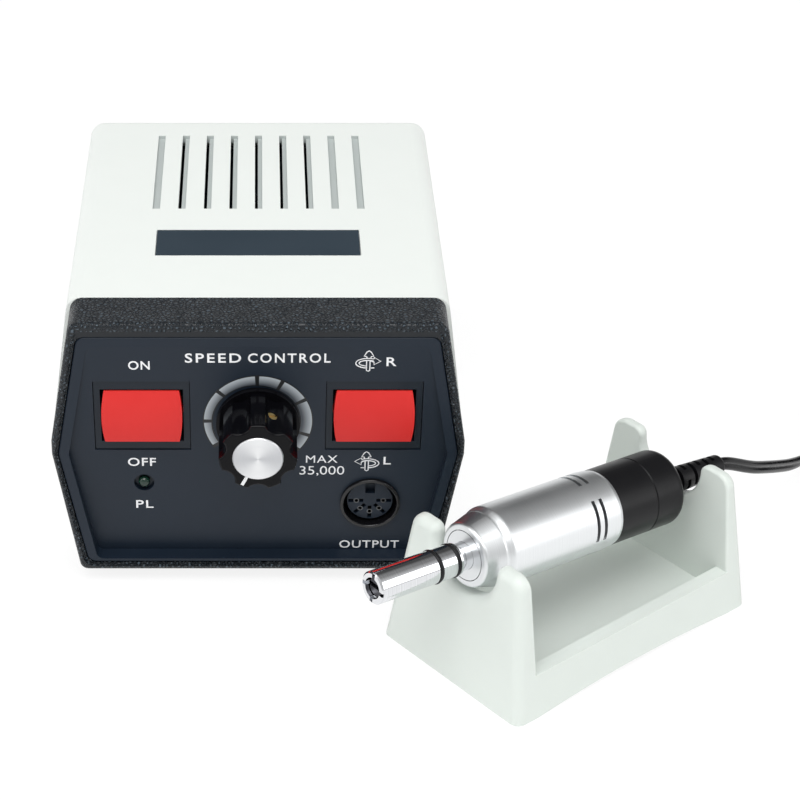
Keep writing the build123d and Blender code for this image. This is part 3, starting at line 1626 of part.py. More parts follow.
route_points = [
    cord_start,
    cord_start + along * 6.5,
    Vector(94.8, -12.6, 25.6),
    Vector(100.4, -6.1, 20.4),
    Vector(105.8, 0.9, 15.0),
    Vector(111.5, 8.3, 10.2),
    Vector(117.6, 16.9, 6.4),
    Vector(122.6, 26.6, 4.1),
    coil_first - entry_way * 10.0,
    coil_first,
]
tail_points = [
    coil_last,
    coil_last + leave_way * 8.0,
    Vector(167.3, 5.2, 11.6),
    Vector(165.9, -3.8, 8.6),
    Vector(165.6, -12.4, 7.4),
    Vector(165.6, -20.4, 7.4),
]


def bends(points):
    """The largest arc that each corner's two runs allow."""
    radii = []
    for before, corner, after in zip(points, points[1:], points[2:]):
        run = min((corner - before).length, (after - corner).length)
        angle = (corner - before).get_angle(after - corner)
        radii.append(0.45 * run / math.tan(math.radians(angle) / 2))
    return radii


print("cord bend radii", [round(r, 1) for r in bends(route_points)])
print("tail bend radii", [round(r, 1) for r in bends(tail_points)])

with BuildPart() as handpiece_cord:
    with BuildLine() as cord_route:
        FilletPolyline(*route_points, radius=bends(route_points))
    with BuildSketch(Plane(origin=cord_route.line @ 0, z_dir=cord_route.line % 0)):
        Circle(cord_radius)
    sweep()
handpiece_cord.part.label = "handpiece_cord"
export_step(handpiece_cord.part, "parts/handpiece_cord.step")

with BuildPart() as cord_tail:
    with BuildLine() as tail_route:
        FilletPolyline(*tail_points, radius=bends(tail_points))
    with BuildSketch(Plane(origin=tail_route.line @ 0, z_dir=tail_route.line % 0)):
        Circle(cord_radius)
    sweep()
cord_tail.part.label = "cord_tail"
export_step(cord_tail.part, "parts/cord_tail.step")

# The winding is one tube on pairs of arcs, a pair to each half turn.
with BuildPart() as cord_coil:
    with BuildLine() as coil_route:
        Line(coil_first, entry)
        for n in range(round(coil_total * 2)):
            p0, t0 = coil_at(n / 2)
            p1, t1 = coil_at((n + 1) / 2)
            chord, both = p1 - p0, t0 + t1
            slack = 2 * (1 - t0.dot(t1))
            reach = (-chord.dot(both) + math.sqrt(chord.dot(both) ** 2 + slack * chord.dot(chord))) / slack
            middle = (p0 + p1 + (t0 - t1) * reach) * 0.5
            middle_way = (p1 - t1 * reach - p0 - t0 * reach).normalized()
            TangentArc(p0, middle, tangent=t0)
            TangentArc(middle, p1, tangent=middle_way)
        Line(leave, coil_last)
    with BuildSketch(Plane(origin=coil_first, z_dir=entry_way)):
        Circle(cord_radius)
    sweep()
cord_coil.part.label = "cord_coil"
export_step(cord_coil.part, "parts/cord_coil.step")

samples = []
for edge in coil_route.edges():
    steps = max(2, round(edge.length))
    samples += [edge @ (k / steps) for k in range(steps)]
least = min(
    (samples[i] - samples[j]).length
    for i in range(len(samples))
    for j in range(i + 30, len(samples))
)
lengths = [sum(e.length for e in r.edges()) for r in (cord_route, coil_route, tail_route)]
section = math.pi * cord_radius**2
print("coil's least gap to itself", round(least - 2 * cord_radius, 2))
print("cord lengths", [round(v, 1) for v in lengths], "in all", round(sum(lengths), 1))
for solid, length in zip((handpiece_cord, cord_coil, cord_tail), lengths):
    print("tube volume over section times length", round(solid.part.volume / (section * length), 3))

tie_angle = math.radians(coil_start - 270)
tie_out = Vector(math.cos(tie_angle), math.sin(tie_angle), 0)
tie_plane = Plane(
    origin=(coil_x + coil_mean * tie_out.X, coil_y + coil_mean * tie_out.Y, 0),
    x_dir=tie_out,
    z_dir=tie_out.cross(Vector(0, 0, 1)),
)
bundle_width = coil_outer - coil_inner + 2 * (cord_radius + tie_gap)
bundle_height = coil_rise * (coil_layers - 1) + 2 * (cord_radius + tie_gap)
with BuildPart() as cord_tie:
    with BuildSketch(tie_plane):
        with Locations((0, tie_thickness + bundle_height / 2)):
            RectangleRounded(
                bundle_width + 2 * tie_thickness, bundle_height + 2 * tie_thickness, cord_radius
            )
            RectangleRounded(bundle_width, bundle_height, cord_radius / 2, mode=Mode.SUBTRACT)
    extrude(amount=tie_width / 2, both=True)
cord_tie.part.label = "cord_tie"
export_step(cord_tie.part, "parts/cord_tie.step")

plug_radius = 7.2
plug_front_radius = 7.0
plug_rear_radius = 3.6
plug_sleeve = 9.0
plug_body_length = 22.0
plug_grip = 0.5
shield_radius = 6.6
shield_wall = 0.5
shield_reach = 9.5
shield_root = 4.0
plug_pin_radius = 0.7
plug_pin_reach = 8.0
plug_way = (tail_points[-1] - tail_points[-2]).normalized()
plug_way = Vector(plug_way.X, plug_way.Y, 0).normalized()
plug_start = tail_points[-1]
plug = Plane(origin=plug_start, x_dir=plug_way, z_dir=plug_way.cross(Vector(0, 0, 1)))
plug_axis = Axis(origin=plug_start, direction=plug_way)
plug_front = plug_sleeve + plug_body_length


def along_plug(station):
    """A plane square to the plug's axis, facing its pins."""
    return Plane(
        origin=plug_start + plug_way * station, x_dir=plug_way.cross(Vector(0, 0, 1)), z_dir=plug_way
    )


with BuildPart() as plug_body:
    with BuildSketch(plug):
        with BuildLine():
            Polyline(
                (0, 0),
                (0, cord_radius + plug_grip),
                (plug_sleeve, plug_rear_radius),
                (plug_sleeve + plug_rear_radius, plug_radius - plug_grip),
                (plug_sleeve + plug_radius, plug_radius),
                (plug_front - plug_grip, plug_front_radius),
                (plug_front, plug_front_radius - plug_grip),
                (plug_front, 0),
                close=True,
            )
        make_face()
    revolve(axis=plug_axis)
    with BuildSketch(along_plug(plug_front - shield_root)):
        Circle(shield_radius)
        Circle(shield_radius - shield_wall, mode=Mode.SUBTRACT)
    extrude(amount=shield_root, mode=Mode.SUBTRACT)
plug_body.part.label = "plug_body"
export_step(plug_body.part, "parts/plug_body.step")

with BuildPart() as plug_shield:
    with BuildSketch(along_plug(plug_front - shield_root)):
        Circle(shield_radius)
        Circle(shield_radius - shield_wall, mode=Mode.SUBTRACT)
    extrude(amount=shield_root + shield_reach)
plug_shield.part.label = "plug_shield"
export_step(plug_shield.part, "parts/plug_shield.step")

with BuildPart() as plug_pins:
    with BuildSketch(along_plug(plug_front)):
        with Locations(*pin_spots):
            Circle(plug_pin_radius)
    extrude(amount=plug_pin_reach)
plug_pins.part.label = "plug_pins"
export_step(plug_pins.part, "parts/plug_pins.step")
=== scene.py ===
import math

import bmesh
import bpy
from mathutils import Euler, Matrix, Vector


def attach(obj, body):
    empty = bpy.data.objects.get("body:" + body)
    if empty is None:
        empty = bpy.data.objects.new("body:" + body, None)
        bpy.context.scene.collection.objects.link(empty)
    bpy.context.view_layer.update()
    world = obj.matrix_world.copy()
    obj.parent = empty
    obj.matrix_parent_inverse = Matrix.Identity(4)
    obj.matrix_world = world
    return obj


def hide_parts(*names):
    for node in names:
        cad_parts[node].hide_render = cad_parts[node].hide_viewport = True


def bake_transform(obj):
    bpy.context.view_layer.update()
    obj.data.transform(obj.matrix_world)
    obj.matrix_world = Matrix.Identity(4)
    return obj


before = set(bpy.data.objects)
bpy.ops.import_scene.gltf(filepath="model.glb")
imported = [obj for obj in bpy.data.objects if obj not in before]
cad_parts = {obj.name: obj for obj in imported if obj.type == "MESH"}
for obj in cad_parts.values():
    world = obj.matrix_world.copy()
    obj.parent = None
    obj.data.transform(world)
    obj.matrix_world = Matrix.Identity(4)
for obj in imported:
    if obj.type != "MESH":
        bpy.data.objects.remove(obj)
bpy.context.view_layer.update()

mm = 0.001
scene = bpy.context.scene
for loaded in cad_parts.values():
    loaded.select_set(False)

# The studio. The camera stands in front of the control box and looks down on it. A large soft
# lamp hangs overhead and a smaller one stands on each side, in a pale room.
camera_data = bpy.data.cameras.new("camera")
camera_data.lens = 103.3
camera_data.sensor_width = 36.0
camera_data.shift_x = 0.1775
camera = bpy.data.objects.new("camera", camera_data)
camera.location = (-0.03674, -0.52560, 0.35701)
camera.rotation_euler = (math.radians(58.57), 0.0, 0.0)
scene.collection.objects.link(camera)
scene.camera = camera
scene.view_settings.view_transform = "Standard"


def softbox(name, place, width, height, watts):
    """A rectangular soft lamp at a place, turned to the middle of the set."""
    lamp = bpy.data.lights.new(name, "AREA")
    lamp.shape = "RECTANGLE"
    lamp.size = width
    lamp.size_y = height
    lamp.energy = watts
    stand = bpy.data.objects.new(name, lamp)
    stand.location = place
    towards = Vector((0.0, -0.03, 0.03)) - Vector(place)
    stand.rotation_euler = towards.to_track_quat("-Z", "Y").to_euler()
    scene.collection.objects.link(stand)


softbox("front_softbox", (-0.10, -0.55, 1.15), 1.10, 0.70, 10.0)
softbox("left_softbox", (-0.95, -0.25, 0.50), 0.50, 0.70, 2.0)
softbox("right_softbox", (0.95, -0.35, 0.45), 0.40, 0.70, 1.8)


def maths(tree, operation, *values):
    """A sum on numbers and sockets: returns its result."""
    node = tree.nodes.new("ShaderNodeMath")
    node.operation = operation
    for slot, value in enumerate(values):
        if isinstance(value, float):
            node.inputs[slot].default_value = value
        else:
            tree.links.new(value, node.inputs[slot])
    return node.outputs["Value"]


def colour_mix(tree, fac, first, second):
    """Two colours or sockets mixed by a factor."""
    node = tree.nodes.new("ShaderNodeMix")
    node.data_type = "RGBA"
    tree.links.new(fac, node.inputs[0])
    for slot, value in ((6, first), (7, second)):
        if isinstance(value, tuple):
            node.inputs[slot].default_value = (*value, 1.0)
        else:
            tree.links.new(value, node.inputs[slot])
    return node.outputs[2]


# The room is pale low down and in front. Behind the set a dark band runs round it, which draws
# the dark streaks in the metal.
world = bpy.data.worlds.new("studio")
scene.world = world
world.use_nodes = True
sky = world.node_tree
sky.nodes.clear()
sky_way = sky.nodes.new("ShaderNodeTexCoord")
sky_part = sky.nodes.new("ShaderNodeSeparateXYZ")
sky.links.new(sky_way.outputs["Generated"], sky_part.inputs["Vector"])


def sky_ramp(axis, stops):
    """Greys laid along one axis of the direction, from 0 to 1."""
    ramp = sky.nodes.new("ShaderNodeValToRGB")
    for number, (position, grey) in enumerate(stops):
        if number < len(ramp.color_ramp.elements):
            stop = ramp.color_ramp.elements[number]
        else:
            stop = ramp.color_ramp.elements.new(position)
        stop.position = position
        stop.color = (grey, grey, grey, 1.0)
    sky.links.new(sky_part.outputs[axis], ramp.inputs["Fac"])
    return ramp.outputs["Color"]


sky_front = sky_ramp("Z", ((0.0, 0.80), (1.0, 0.95), (0.15, 0.72), (0.45, 0.66)))
sky_back = sky_ramp("Z", ((0.0, 0.95), (1.0, 0.85), (0.16, 0.88), (0.30, 0.09), (0.70, 0.09)))
sky_side = sky_ramp("Y", ((0.0, 0.0), (1.0, 1.0), (0.30, 1.0)))
sky_room = sky.nodes.new("ShaderNodeBackground")
sky_room.inputs["Strength"].default_value = 0.85
sky_out = sky.nodes.new("ShaderNodeOutputWorld")
sky.links.new(colour_mix(sky, sky_side, sky_front, sky_back), sky_room.inputs["Color"])
sky.links.new(sky_room.outputs["Background"], sky_out.inputs["Surface"])

# The white table glows for the camera and in mirrors, so that it fades into the background, and
# still takes soft shadows.
bpy.ops.mesh.primitive_plane_add(size=6.0, location=(0.0, 0.0, 0.0))
table = bpy.context.object
table.name = "table"
table_white = bpy.data.materials.new("table_white")
table_white.use_nodes = True
tree = table_white.node_tree
tree.nodes.clear()
table_matt = tree.nodes.new("ShaderNodeBsdfDiffuse")
table_matt.inputs["Color"].default_value = (0.86, 0.86, 0.86, 1.0)
table_glow = tree.nodes.new("ShaderNodeEmission")
table_glow.inputs["Color"].default_value = (1.0, 1.0, 1.0, 1.0)
table_glow.inputs["Strength"].default_value = 1.07
ray = tree.nodes.new("ShaderNodeLightPath").outputs
seen = maths(tree, "MAXIMUM", ray["Is Camera Ray"], ray["Is Transmission Ray"])
glow_share = maths(tree, "MULTIPLY", maths(tree, "MAXIMUM", seen, ray["Is Glossy Ray"]), 0.80)
table_mix = tree.nodes.new("ShaderNodeMixShader")
tree.links.new(glow_share, table_mix.inputs[0])
tree.links.new(table_matt.outputs["BSDF"], table_mix.inputs[1])
tree.links.new(table_glow.outputs["Emission"], table_mix.inputs[2])
table_out = tree.nodes.new("ShaderNodeOutputMaterial")
tree.links.new(table_mix.outputs["Shader"], table_out.inputs["Surface"])
table.data.materials.append(table_white)
table.select_set(False)


# The cover and the tray under it are moulded in off-white plastic with a fine satin skin. The
# cover is clipped over the tray at the widest place, and a dark plate sits in a sunk place on its
# top, in front of nine slots that let the warm air out.


def new_material(name, colour, roughness, metallic=0.0, specular=0.5, coat=0.0):
    """A material with its shader's values: returns the material, its tree and the shader."""
    made = bpy.data.materials.new(name)
    made.use_nodes = True
    shader = made.node_tree.nodes["Principled BSDF"]
    shader.inputs["Base Color"].default_value = (*colour, 1.0)
    shader.inputs["Roughness"].default_value = roughness
    shader.inputs["Metallic"].default_value = metallic
    shader.inputs["Specular IOR Level"].default_value = specular
    shader.inputs["Coat Weight"].default_value = coat
    return made, made.node_tree, shader


def own_place(tree):
    """The piece's own coordinates, in metres."""
    return tree.nodes.new("ShaderNodeTexCoord").outputs["Object"]


def noise(tree, source, scale, detail=2.0, roughness=0.5):
    """A noise texture on a vector."""
    node = tree.nodes.new("ShaderNodeTexNoise")
    node.inputs["Detail"].default_value = detail
    node.inputs["Roughness"].default_value = roughness
    if isinstance(scale, float):
        node.inputs["Scale"].default_value = scale
    else:
        tree.links.new(scale, node.inputs["Scale"])
    tree.links.new(source, node.inputs["Vector"])
    return node


def spread(tree, value, low, high, start=0.3, stop=0.7, smooth=False):
    """A value laid over a range from low to high: noise runs from about 0.3 to 0.7."""
    node = tree.nodes.new("ShaderNodeMapRange")
    if smooth:
        node.interpolation_type = "SMOOTHSTEP"
    node.inputs["From Min"].default_value = start
    node.inputs["From Max"].default_value = stop
    for label, end in (("To Min", low), ("To Max", high)):
        if isinstance(end, float):
            node.inputs[label].default_value = end
        else:
            tree.links.new(end, node.inputs[label])
    tree.links.new(value, node.inputs["Value"])
    return node.outputs["Result"]


def bump_into(tree, shader, height, strength, distance):
    """Raises the surface by a height, in metres at full strength."""
    node = tree.nodes.new("ShaderNodeBump")
    node.inputs["Strength"].default_value = strength
    node.inputs["Distance"].default_value = distance
    tree.links.new(height, node.inputs["Height"])
    tree.links.new(node.outputs["Normal"], shader.inputs["Normal"])


def skin_group(name, *values):
    """A node group on a vector, two colours and more values: returns it and its two ends."""
    made = bpy.data.node_groups.new(name, "ShaderNodeTree")
    made.interface.new_socket(name="Vector", in_out="INPUT", socket_type="NodeSocketVector")
    for label in ("Colour", "Second Colour"):
        made.interface.new_socket(name=label, in_out="INPUT", socket_type="NodeSocketColor")
    for label in (*values, "Smooth", "Rough"):
        made.interface.new_socket(name=label, in_out="INPUT", socket_type="NodeSocketFloat")
    made.interface.new_socket(name="Color", in_out="OUTPUT", socket_type="NodeSocketColor")
    for label in ("Roughness", "Height"):
        made.interface.new_socket(name=label, in_out="OUTPUT", socket_type="NodeSocketFloat")
    given = made.nodes.new("NodeGroupInput").outputs
    return made, given, made.nodes.new("NodeGroupOutput").inputs


def put_out(group, given, ends, tint, gloss, height):
    """Ends a skin: its colours are mixed by one noise, its gloss wanders with another."""
    tint_share = spread(group, tint, 0.0, 1.0)
    tinted = colour_mix(group, tint_share, given["Colour"], given["Second Colour"])
    group.links.new(tinted, ends["Color"])
    group.links.new(spread(group, gloss, given["Smooth"], given["Rough"]), ends["Roughness"])
    group.links.new(height, ends["Height"])


def put_on(tree, shader, group, source, strength, relief, **values):
    """Sets a skin into a material, where it drives the colour, the gloss and the relief."""
    node = tree.nodes.new("ShaderNodeGroup")
    node.node_tree = group
    tree.links.new(source, node.inputs["Vector"])
    for label, value in values.items():
        node.inputs[label.replace("_", " ")].default_value = value
    tree.links.new(node.outputs["Color"], shader.inputs["Base Color"])
    tree.links.new(node.outputs["Roughness"], shader.inputs["Roughness"])
    bump_into(tree, shader, node.outputs["Height"], strength, relief)


def dress(node_names, made):
    """Gives the material to pieces of the frame."""
    for name in node_names:
        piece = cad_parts[name]
        if not piece.material_slots:
            piece.data.materials.append(made)
        for slot in piece.material_slots:
            slot.material = made


# Moulded plastic: faint clouds in the colour and the gloss, and a fine spark-eroded grain.
moulded_skin, given, ends = skin_group("moulded_skin", "Cloud Scale", "Grain Scale")
clouds = noise(moulded_skin, given["Vector"], given["Cloud Scale"], 3.0).outputs["Fac"]
grain = noise(moulded_skin, given["Vector"], given["Grain Scale"], 3.0, 0.6).outputs["Fac"]
put_out(moulded_skin, given, ends, clouds, clouds, grain)


def moulded(name, colour, second, grain, smooth, rough, relief, clouds=45.0, **shine):
    """Moulded plastic in two close colours, with its grain and its range of gloss."""
    made, tree, shader = new_material(name, colour, (smooth + rough) / 2, **shine)
    put_on(
        tree, shader, moulded_skin, own_place(tree), 0.35, relief,
        Colour=(*colour, 1.0), Second_Colour=(*second, 1.0),
        Cloud_Scale=clouds, Grain_Scale=grain, Smooth=smooth, Rough=rough,
    )
    return made


def inside(tree, source, ranges):
    """1 where a vector lies within a range in millimetres along each axis given, or else 0."""
    part = tree.nodes.new("ShaderNodeSeparateXYZ")
    tree.links.new(source, part.inputs["Vector"])
    result = None
    for axis, (low, high) in ranges.items():
        past_low = maths(tree, "GREATER_THAN", part.outputs[axis], low * mm)
        below_high = maths(tree, "LESS_THAN", part.outputs[axis], high * mm)
        within = maths(tree, "MULTIPLY", past_low, below_high)
        result = within if result is None else maths(tree, "MULTIPLY", result, within)
    return result


ivory_shell = moulded(
    "ivory_shell", (0.84, 0.875, 0.845), (0.82, 0.855, 0.825), 2600.0, 0.42, 0.52, 0.00006
)
# The floors of the vent slots lie in shade.
tree = ivory_shell.node_tree
ivory_colour = tree.nodes["Principled BSDF"].inputs["Base Color"]
in_slots = inside(
    tree, own_place(tree), {"X": (-66.5, -6.9), "Y": (28.0, 78.0), "Z": (75.6, 78.05)}
)
ivory_skin = ivory_colour.links[0].from_socket
tree.links.new(colour_mix(tree, in_slots, ivory_skin, (0.52, 0.56, 0.55)), ivory_colour)
plate_slate = moulded(
    "plate_slate", (0.024, 0.040, 0.056), (0.028, 0.045, 0.062), 4200.0, 0.30, 0.38, 0.00002
)
dress(["top_cover", "base_tray"], ivory_shell)
dress(["name_plate"], plate_slate)


def block(width, depth, height, place):
    """A block in millimetres, set at a place: stock for a strip or a cutter."""
    bpy.ops.mesh.primitive_cube_add(size=1.0)
    piece = bpy.context.object
    piece.data.transform(Matrix.Diagonal((width * mm, depth * mm, height * mm, 1.0)))
    piece.data.transform(place)
    return piece


def soften(piece, width):
    """Rounds the piece's edges by a width in millimetres."""
    modifier = piece.modifiers.new("soft edges", "BEVEL")
    modifier.width = width * mm
    modifier.segments = 2
    bpy.ops.object.modifier_apply(modifier=modifier.name)


def settle(piece, name, made, body, place=None):
    """Names a finished piece, sets it at its place, gives it its material and lets it ride."""
    piece.name = name
    piece.data.name = name
    if place is not None:
        piece.data.transform(place)
    piece.data.materials.clear()
    piece.data.materials.append(made)
    piece.select_set(False)
    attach(piece, body)
    return piece


# Each vent slot is narrowed by a lip on its right, and the open ones by the ledge below as well.
across_box = -36.74 * mm
box_top = 78.3 * mm
vent_pitch = 6.9 * mm
vent_length = 46.66
vent_centre = 52.75 * mm
vent_middles = [across_box + (n - 4) * vent_pitch for n in range(9)]
for name, middles, left, right, deep, shallow in (
    ("vent_lips", vent_middles, 1.15, 1.80, 1.15, 0.012),
    ("vent_ledges", vent_middles[1:7], -0.05, 0.90, 2.0, 1.1),
):
    strips = []
    for vent_middle in middles:
        strip_middle = vent_middle + (left + right) / 2 * mm
        strip_height = box_top - (deep + shallow) / 2 * mm
        strip_place = Matrix.Translation((strip_middle, vent_centre, strip_height))
        strips.append(block(right - left, vent_length, deep - shallow, strip_place))
        soften(strips[-1], 0.06)
    for strip in strips:
        strip.select_set(True)
    bpy.ops.object.join()
    settle(bpy.context.object, name, ivory_shell, "control_box")

# Four rubber feet are pushed into the tray, and four long steel screws go up through its posts
# into the cover.
foot_rubber = moulded(
    "foot_rubber", (0.020, 0.020, 0.021), (0.028, 0.028, 0.029), 1800.0, 0.62, 0.75, 0.00008
)
dress(["rubber_feet"], foot_rubber)


def line_noise(tree, value, scale, detail, roughness=0.5):
    """Noise along one value: fine lines."""
    node = tree.nodes.new("ShaderNodeTexNoise")
    node.noise_dimensions = "1D"
    node.inputs["Scale"].default_value = scale
    node.inputs["Detail"].default_value = detail
    node.inputs["Roughness"].default_value = roughness
    tree.links.new(value, node.inputs["W"])
    return node.outputs["Fac"]


# Metal that was turned on a lathe: fine rings round the axis, which the vector's Z runs along.
turned_marks, given, ends = skin_group("turned_marks", "Lines")
marks_part = turned_marks.nodes.new("ShaderNodeSeparateXYZ")
turned_marks.links.new(given["Vector"], marks_part.inputs["Vector"])
ring_count = maths(turned_marks, "MULTIPLY", marks_part.outputs["Z"], given["Lines"])
rings = line_noise(turned_marks, ring_count, 1.0, 4.0, 0.65)
smears = noise(turned_marks, given["Vector"], 160.0, 3.0).outputs["Fac"]
put_out(turned_marks, given, ends, rings, smears, rings)


def axis_place(tree, origin, turn):
    """The piece's own coordinates, counted from an origin along the axes of a turned frame."""
    mapping = tree.nodes.new("ShaderNodeMapping")
    mapping.vector_type = "TEXTURE"
    mapping.inputs["Location"].default_value = origin
    mapping.inputs["Rotation"].default_value = turn
    tree.links.new(own_place(tree), mapping.inputs["Vector"])
    return mapping.outputs["Vector"]


def turned(name, colour, second, lines, smooth, rough, relief, axis, metallic=1.0, specular=0.5):
    """Turned metal whose rings run round an axis: an origin and a turn that it is the Z of."""
    made, tree, shader = new_material(name, colour, (smooth + rough) / 2, metallic, specular)
    put_on(
        tree, shader, turned_marks, axis_place(tree, *axis), 0.5, relief,
        Colour=(*colour, 1.0), Second_Colour=(*second, 1.0),
        Lines=lines, Smooth=smooth, Rough=rough,
    )
    return made


upright_axis = ((0.0, 0.0, 0.0), Euler((0.0, 0.0, 0.0)))
screw_steel = turned(
    "screw_steel", (0.50, 0.50, 0.52), (0.42, 0.42, 0.44), 9000.0, 0.25, 0.4, 0.00002,
    upright_axis,
)
dress(["case_screws"], screw_steel)


# The frame round the front is moulded in black with a leather grain: small pebbles with creases
# between them. The pebbles' tops are painted paler as painted highlights and the creases darker as
# painted shade. The thin ledges above the panel are left smooth.


def vector_maths(tree, operation, *values):
    """A sum on vectors and sockets: returns its result."""
    node = tree.nodes.new("ShaderNodeVectorMath")
    node.operation = operation
    for slot, value in enumerate(values):
        if isinstance(value, tuple):
            node.inputs[slot].default_value = value
        else:
            tree.links.new(value, node.inputs[slot])
    return node.outputs["Value" if operation == "LENGTH" else "Vector"]


bezel_black, tree, shader = new_material(
    "bezel_black", (0.018, 0.020, 0.024), 0.5, specular=0.4
)
bezel_place = own_place(tree)
drift = noise(tree, bezel_place, 420.0, 2.0)
pebbles = tree.nodes.new("ShaderNodeTexVoronoi")
pebbles.feature = "DISTANCE_TO_EDGE"
pebbles.inputs["Scale"].default_value = 1000.0
drifted = vector_maths(
    tree, "MULTIPLY_ADD", drift.outputs["Color"], (0.0007, 0.0007, 0.0007), bezel_place
)
tree.links.new(drifted, pebbles.inputs["Vector"])
pebble_height = spread(tree, pebbles.outputs["Distance"], 0.0, 1.0, 0.05, 0.36, smooth=True)
on_ledge = inside(tree, bezel_place, {"X": (-81.74, 8.26), "Z": (74.1, 76.0)})
grain_height_and_painted_glint = maths(tree, "SUBTRACT", pebble_height, on_ledge)
grain_height_and_painted_glint.node.use_clamp = True
# The colour follows the grain's heights: paler pebble tops are painted highlights, darker creases
# painted shade.
tree.links.new(
    colour_mix(tree, grain_height_and_painted_glint, (0.009, 0.012, 0.016), (0.072, 0.094, 0.116)),
    shader.inputs["Base Color"],
)
tree.links.new(spread(tree, drift.outputs["Fac"], 0.28, 0.42), shader.inputs["Roughness"])
bump_into(tree, shader, grain_height_and_painted_glint, 1.0, 0.0014)
dress(["front_bezel"], bezel_black)

# The front panel is one smooth slate moulding: a raised rim, and inside it a field that leans
# back towards its foot, with a sunk place for each switch. Its legends are printed in white.
front_rim = -33.8 * mm
field_top = 71.5 * mm
field_low = 7.6 * mm
rim_setback = 0.6 * mm
foot_setback = 4.1 * mm
lean = math.atan2(foot_setback, field_top - field_low)
outward = Vector((0.0, -math.cos(lean), -math.sin(lean)))
upward = Vector((0.0, -math.sin(lean), math.cos(lean)))


def on_field(x, z, off=0.0):
    """The frame at x across and height z on the leaning field: its Z points outwards."""
    y = front_rim + rim_setback + (field_top - z * mm) * math.tan(lean)
    spot = Vector((across_box + x * mm, y, z * mm)) + outward * off * mm
    return Matrix(
        (
            (1.0, upward.x, outward.x, spot.x),
            (0.0, upward.y, outward.y, spot.y),
            (0.0, upward.z, outward.z, spot.z),
            (0.0, 0.0, 0.0, 1.0),
        )
    )


panel_slate = moulded(
    "panel_slate", (0.0060, 0.0125, 0.0235), (0.0075, 0.0150, 0.0270), 3400.0, 0.42, 0.52,
    0.00004, specular=0.35,
)
dress(["front_panel"], panel_slate)

print_white = moulded(
    "print_white", (0.88, 0.89, 0.90), (0.82, 0.83, 0.85), 5200.0, 0.45, 0.6, 0.00001, 400.0
)
print_lift = 0.01  # mm that the ink stands off the field
print_thick = 0.04
digit_height = 0.729  # of a text of size 1 in Blender's own font


def legend(name, words, left, right, z, cap, weight=0.012, spacing=1.0):
    """White words on the field, from left to right, centred on height z, cap mm tall."""
    bpy.ops.object.text_add()
    text = bpy.context.object
    text.data.body = words
    text.data.size = 1.0
    text.data.offset = weight
    text.data.space_character = spacing
    text.data.resolution_u = 4
    text.data.extrude = 0.001
    bpy.ops.object.convert(target="MESH")
    piece = bpy.context.object
    corners = [v.co for v in piece.data.vertices]
    low_x = min(c.x for c in corners)
    high_x = max(c.x for c in corners)
    foot = min(c.y for c in corners)
    tall = max(c.y for c in corners) - foot
    if "," in words:
        foot, tall = 0.0, digit_height  # the comma hangs below the line
    for v in piece.data.vertices:
        v.co.x = ((v.co.x - low_x) / (high_x - low_x) * (right - left) + left) * mm
        v.co.y = ((v.co.y - foot) / tall - 0.5) * cap * mm
        v.co.z = (print_lift + (print_thick if v.co.z > 0 else 0.0)) * mm
    return settle(piece, name, print_white, "control_box", on_field(0.0, z))


legend("legend_on", "ON", -32.4, -27.0, 66.0, 2.6, 0.012, 1.1)
legend("legend_off", "OFF", -33.4, -26.2, 36.1, 2.6, 0.012, 1.1)
legend("legend_lamp", "PL", -31.7, -27.2, 22.5, 2.5, 0.010, 1.15)
legend("legend_speed", "SPEED", -18.2, -4.2, 68.2, 2.8, 0.014, 1.25)
legend("legend_control", "CONTROL", -2.5, 18.1, 68.2, 2.8, 0.014, 1.25)
legend("legend_max", "MAX", 12.3, 20.4, 37.0, 2.3, 0.0, 1.1)
legend("legend_top_speed", "35,000", 10.7, 22.2, 33.5, 2.85, -0.004)
legend("legend_right", "R", 32.0, 34.5, 67.1, 2.6)
legend("legend_left", "L", 32.2, 34.1, 36.5, 2.4)
legend("legend_output", "OUTPUT", 21.4, 37.1, 9.2, 2.5, 0.010, 1.1)


def oval(cz, rx, rz, start, stop, steps=14):
    """Points along part of an oval round height cz, in degrees from the right."""
    angles = [math.radians(start + (stop - start) * n / steps) for n in range(steps + 1)]
    return [(rx * math.cos(a), cz + rz * math.sin(a)) for a in angles]


# The two turning signs: an arrow up, a ring round it with an arrow at its end, and a shaft.
turning = [
    [
        (-0.25, 1.05), (-0.40, 1.45), (-1.0, 1.55), (-0.35, 2.75), (0.2, 3.15), (0.75, 2.75),
        (1.4, 1.55), (0.8, 1.45), (0.65, 1.05),
    ],
    oval(-0.55, 3.05, 1.45, 62.0, 265.0) + [(-0.2, -2.0)],
    oval(-0.55, 2.2, 0.85, 50.0, 262.0),
    [(1.5, 0.75), (1.5, 1.2), (3.2, 0.05), (1.5, -1.0), (1.5, -0.2), (0.7, 0.12)],
    [(-0.35, 0.1), (-0.35, -2.7), (0.1, -2.95), (0.5, -2.7), (0.5, 0.1)],
    [(0.7, -2.0), (1.6, -1.95)],
]
pen_width = 0.30
for name, x, z, flip in (
    ("pictogram_right", 27.4, 67.2, 1),
    ("pictogram_left", 28.0, 36.2, -1),
):
    curve = bpy.data.curves.new(name, "CURVE")
    curve.dimensions = "3D"
    curve.bevel_depth = pen_width / 2 * mm
    curve.bevel_resolution = 1
    for points in turning:
        line = curve.splines.new("POLY")
        line.points.add(len(points) - 1)
        for spot, (px, pz) in zip(line.points, points):
            spot.co = (flip * px * mm, pz * mm, 0.0, 1.0)
    drawing = bpy.data.objects.new(name, curve)
    scene.collection.objects.link(drawing)
    bpy.context.view_layer.objects.active = drawing
    drawing.select_set(True)
    bpy.ops.object.convert(target="MESH")
    piece = bpy.context.object
    for v in piece.data.vertices:
        v.co.z = (print_lift + (print_thick if v.co.z > 0 else 0.0)) * mm
    settle(piece, name, print_white, "control_box", on_field(x, z))

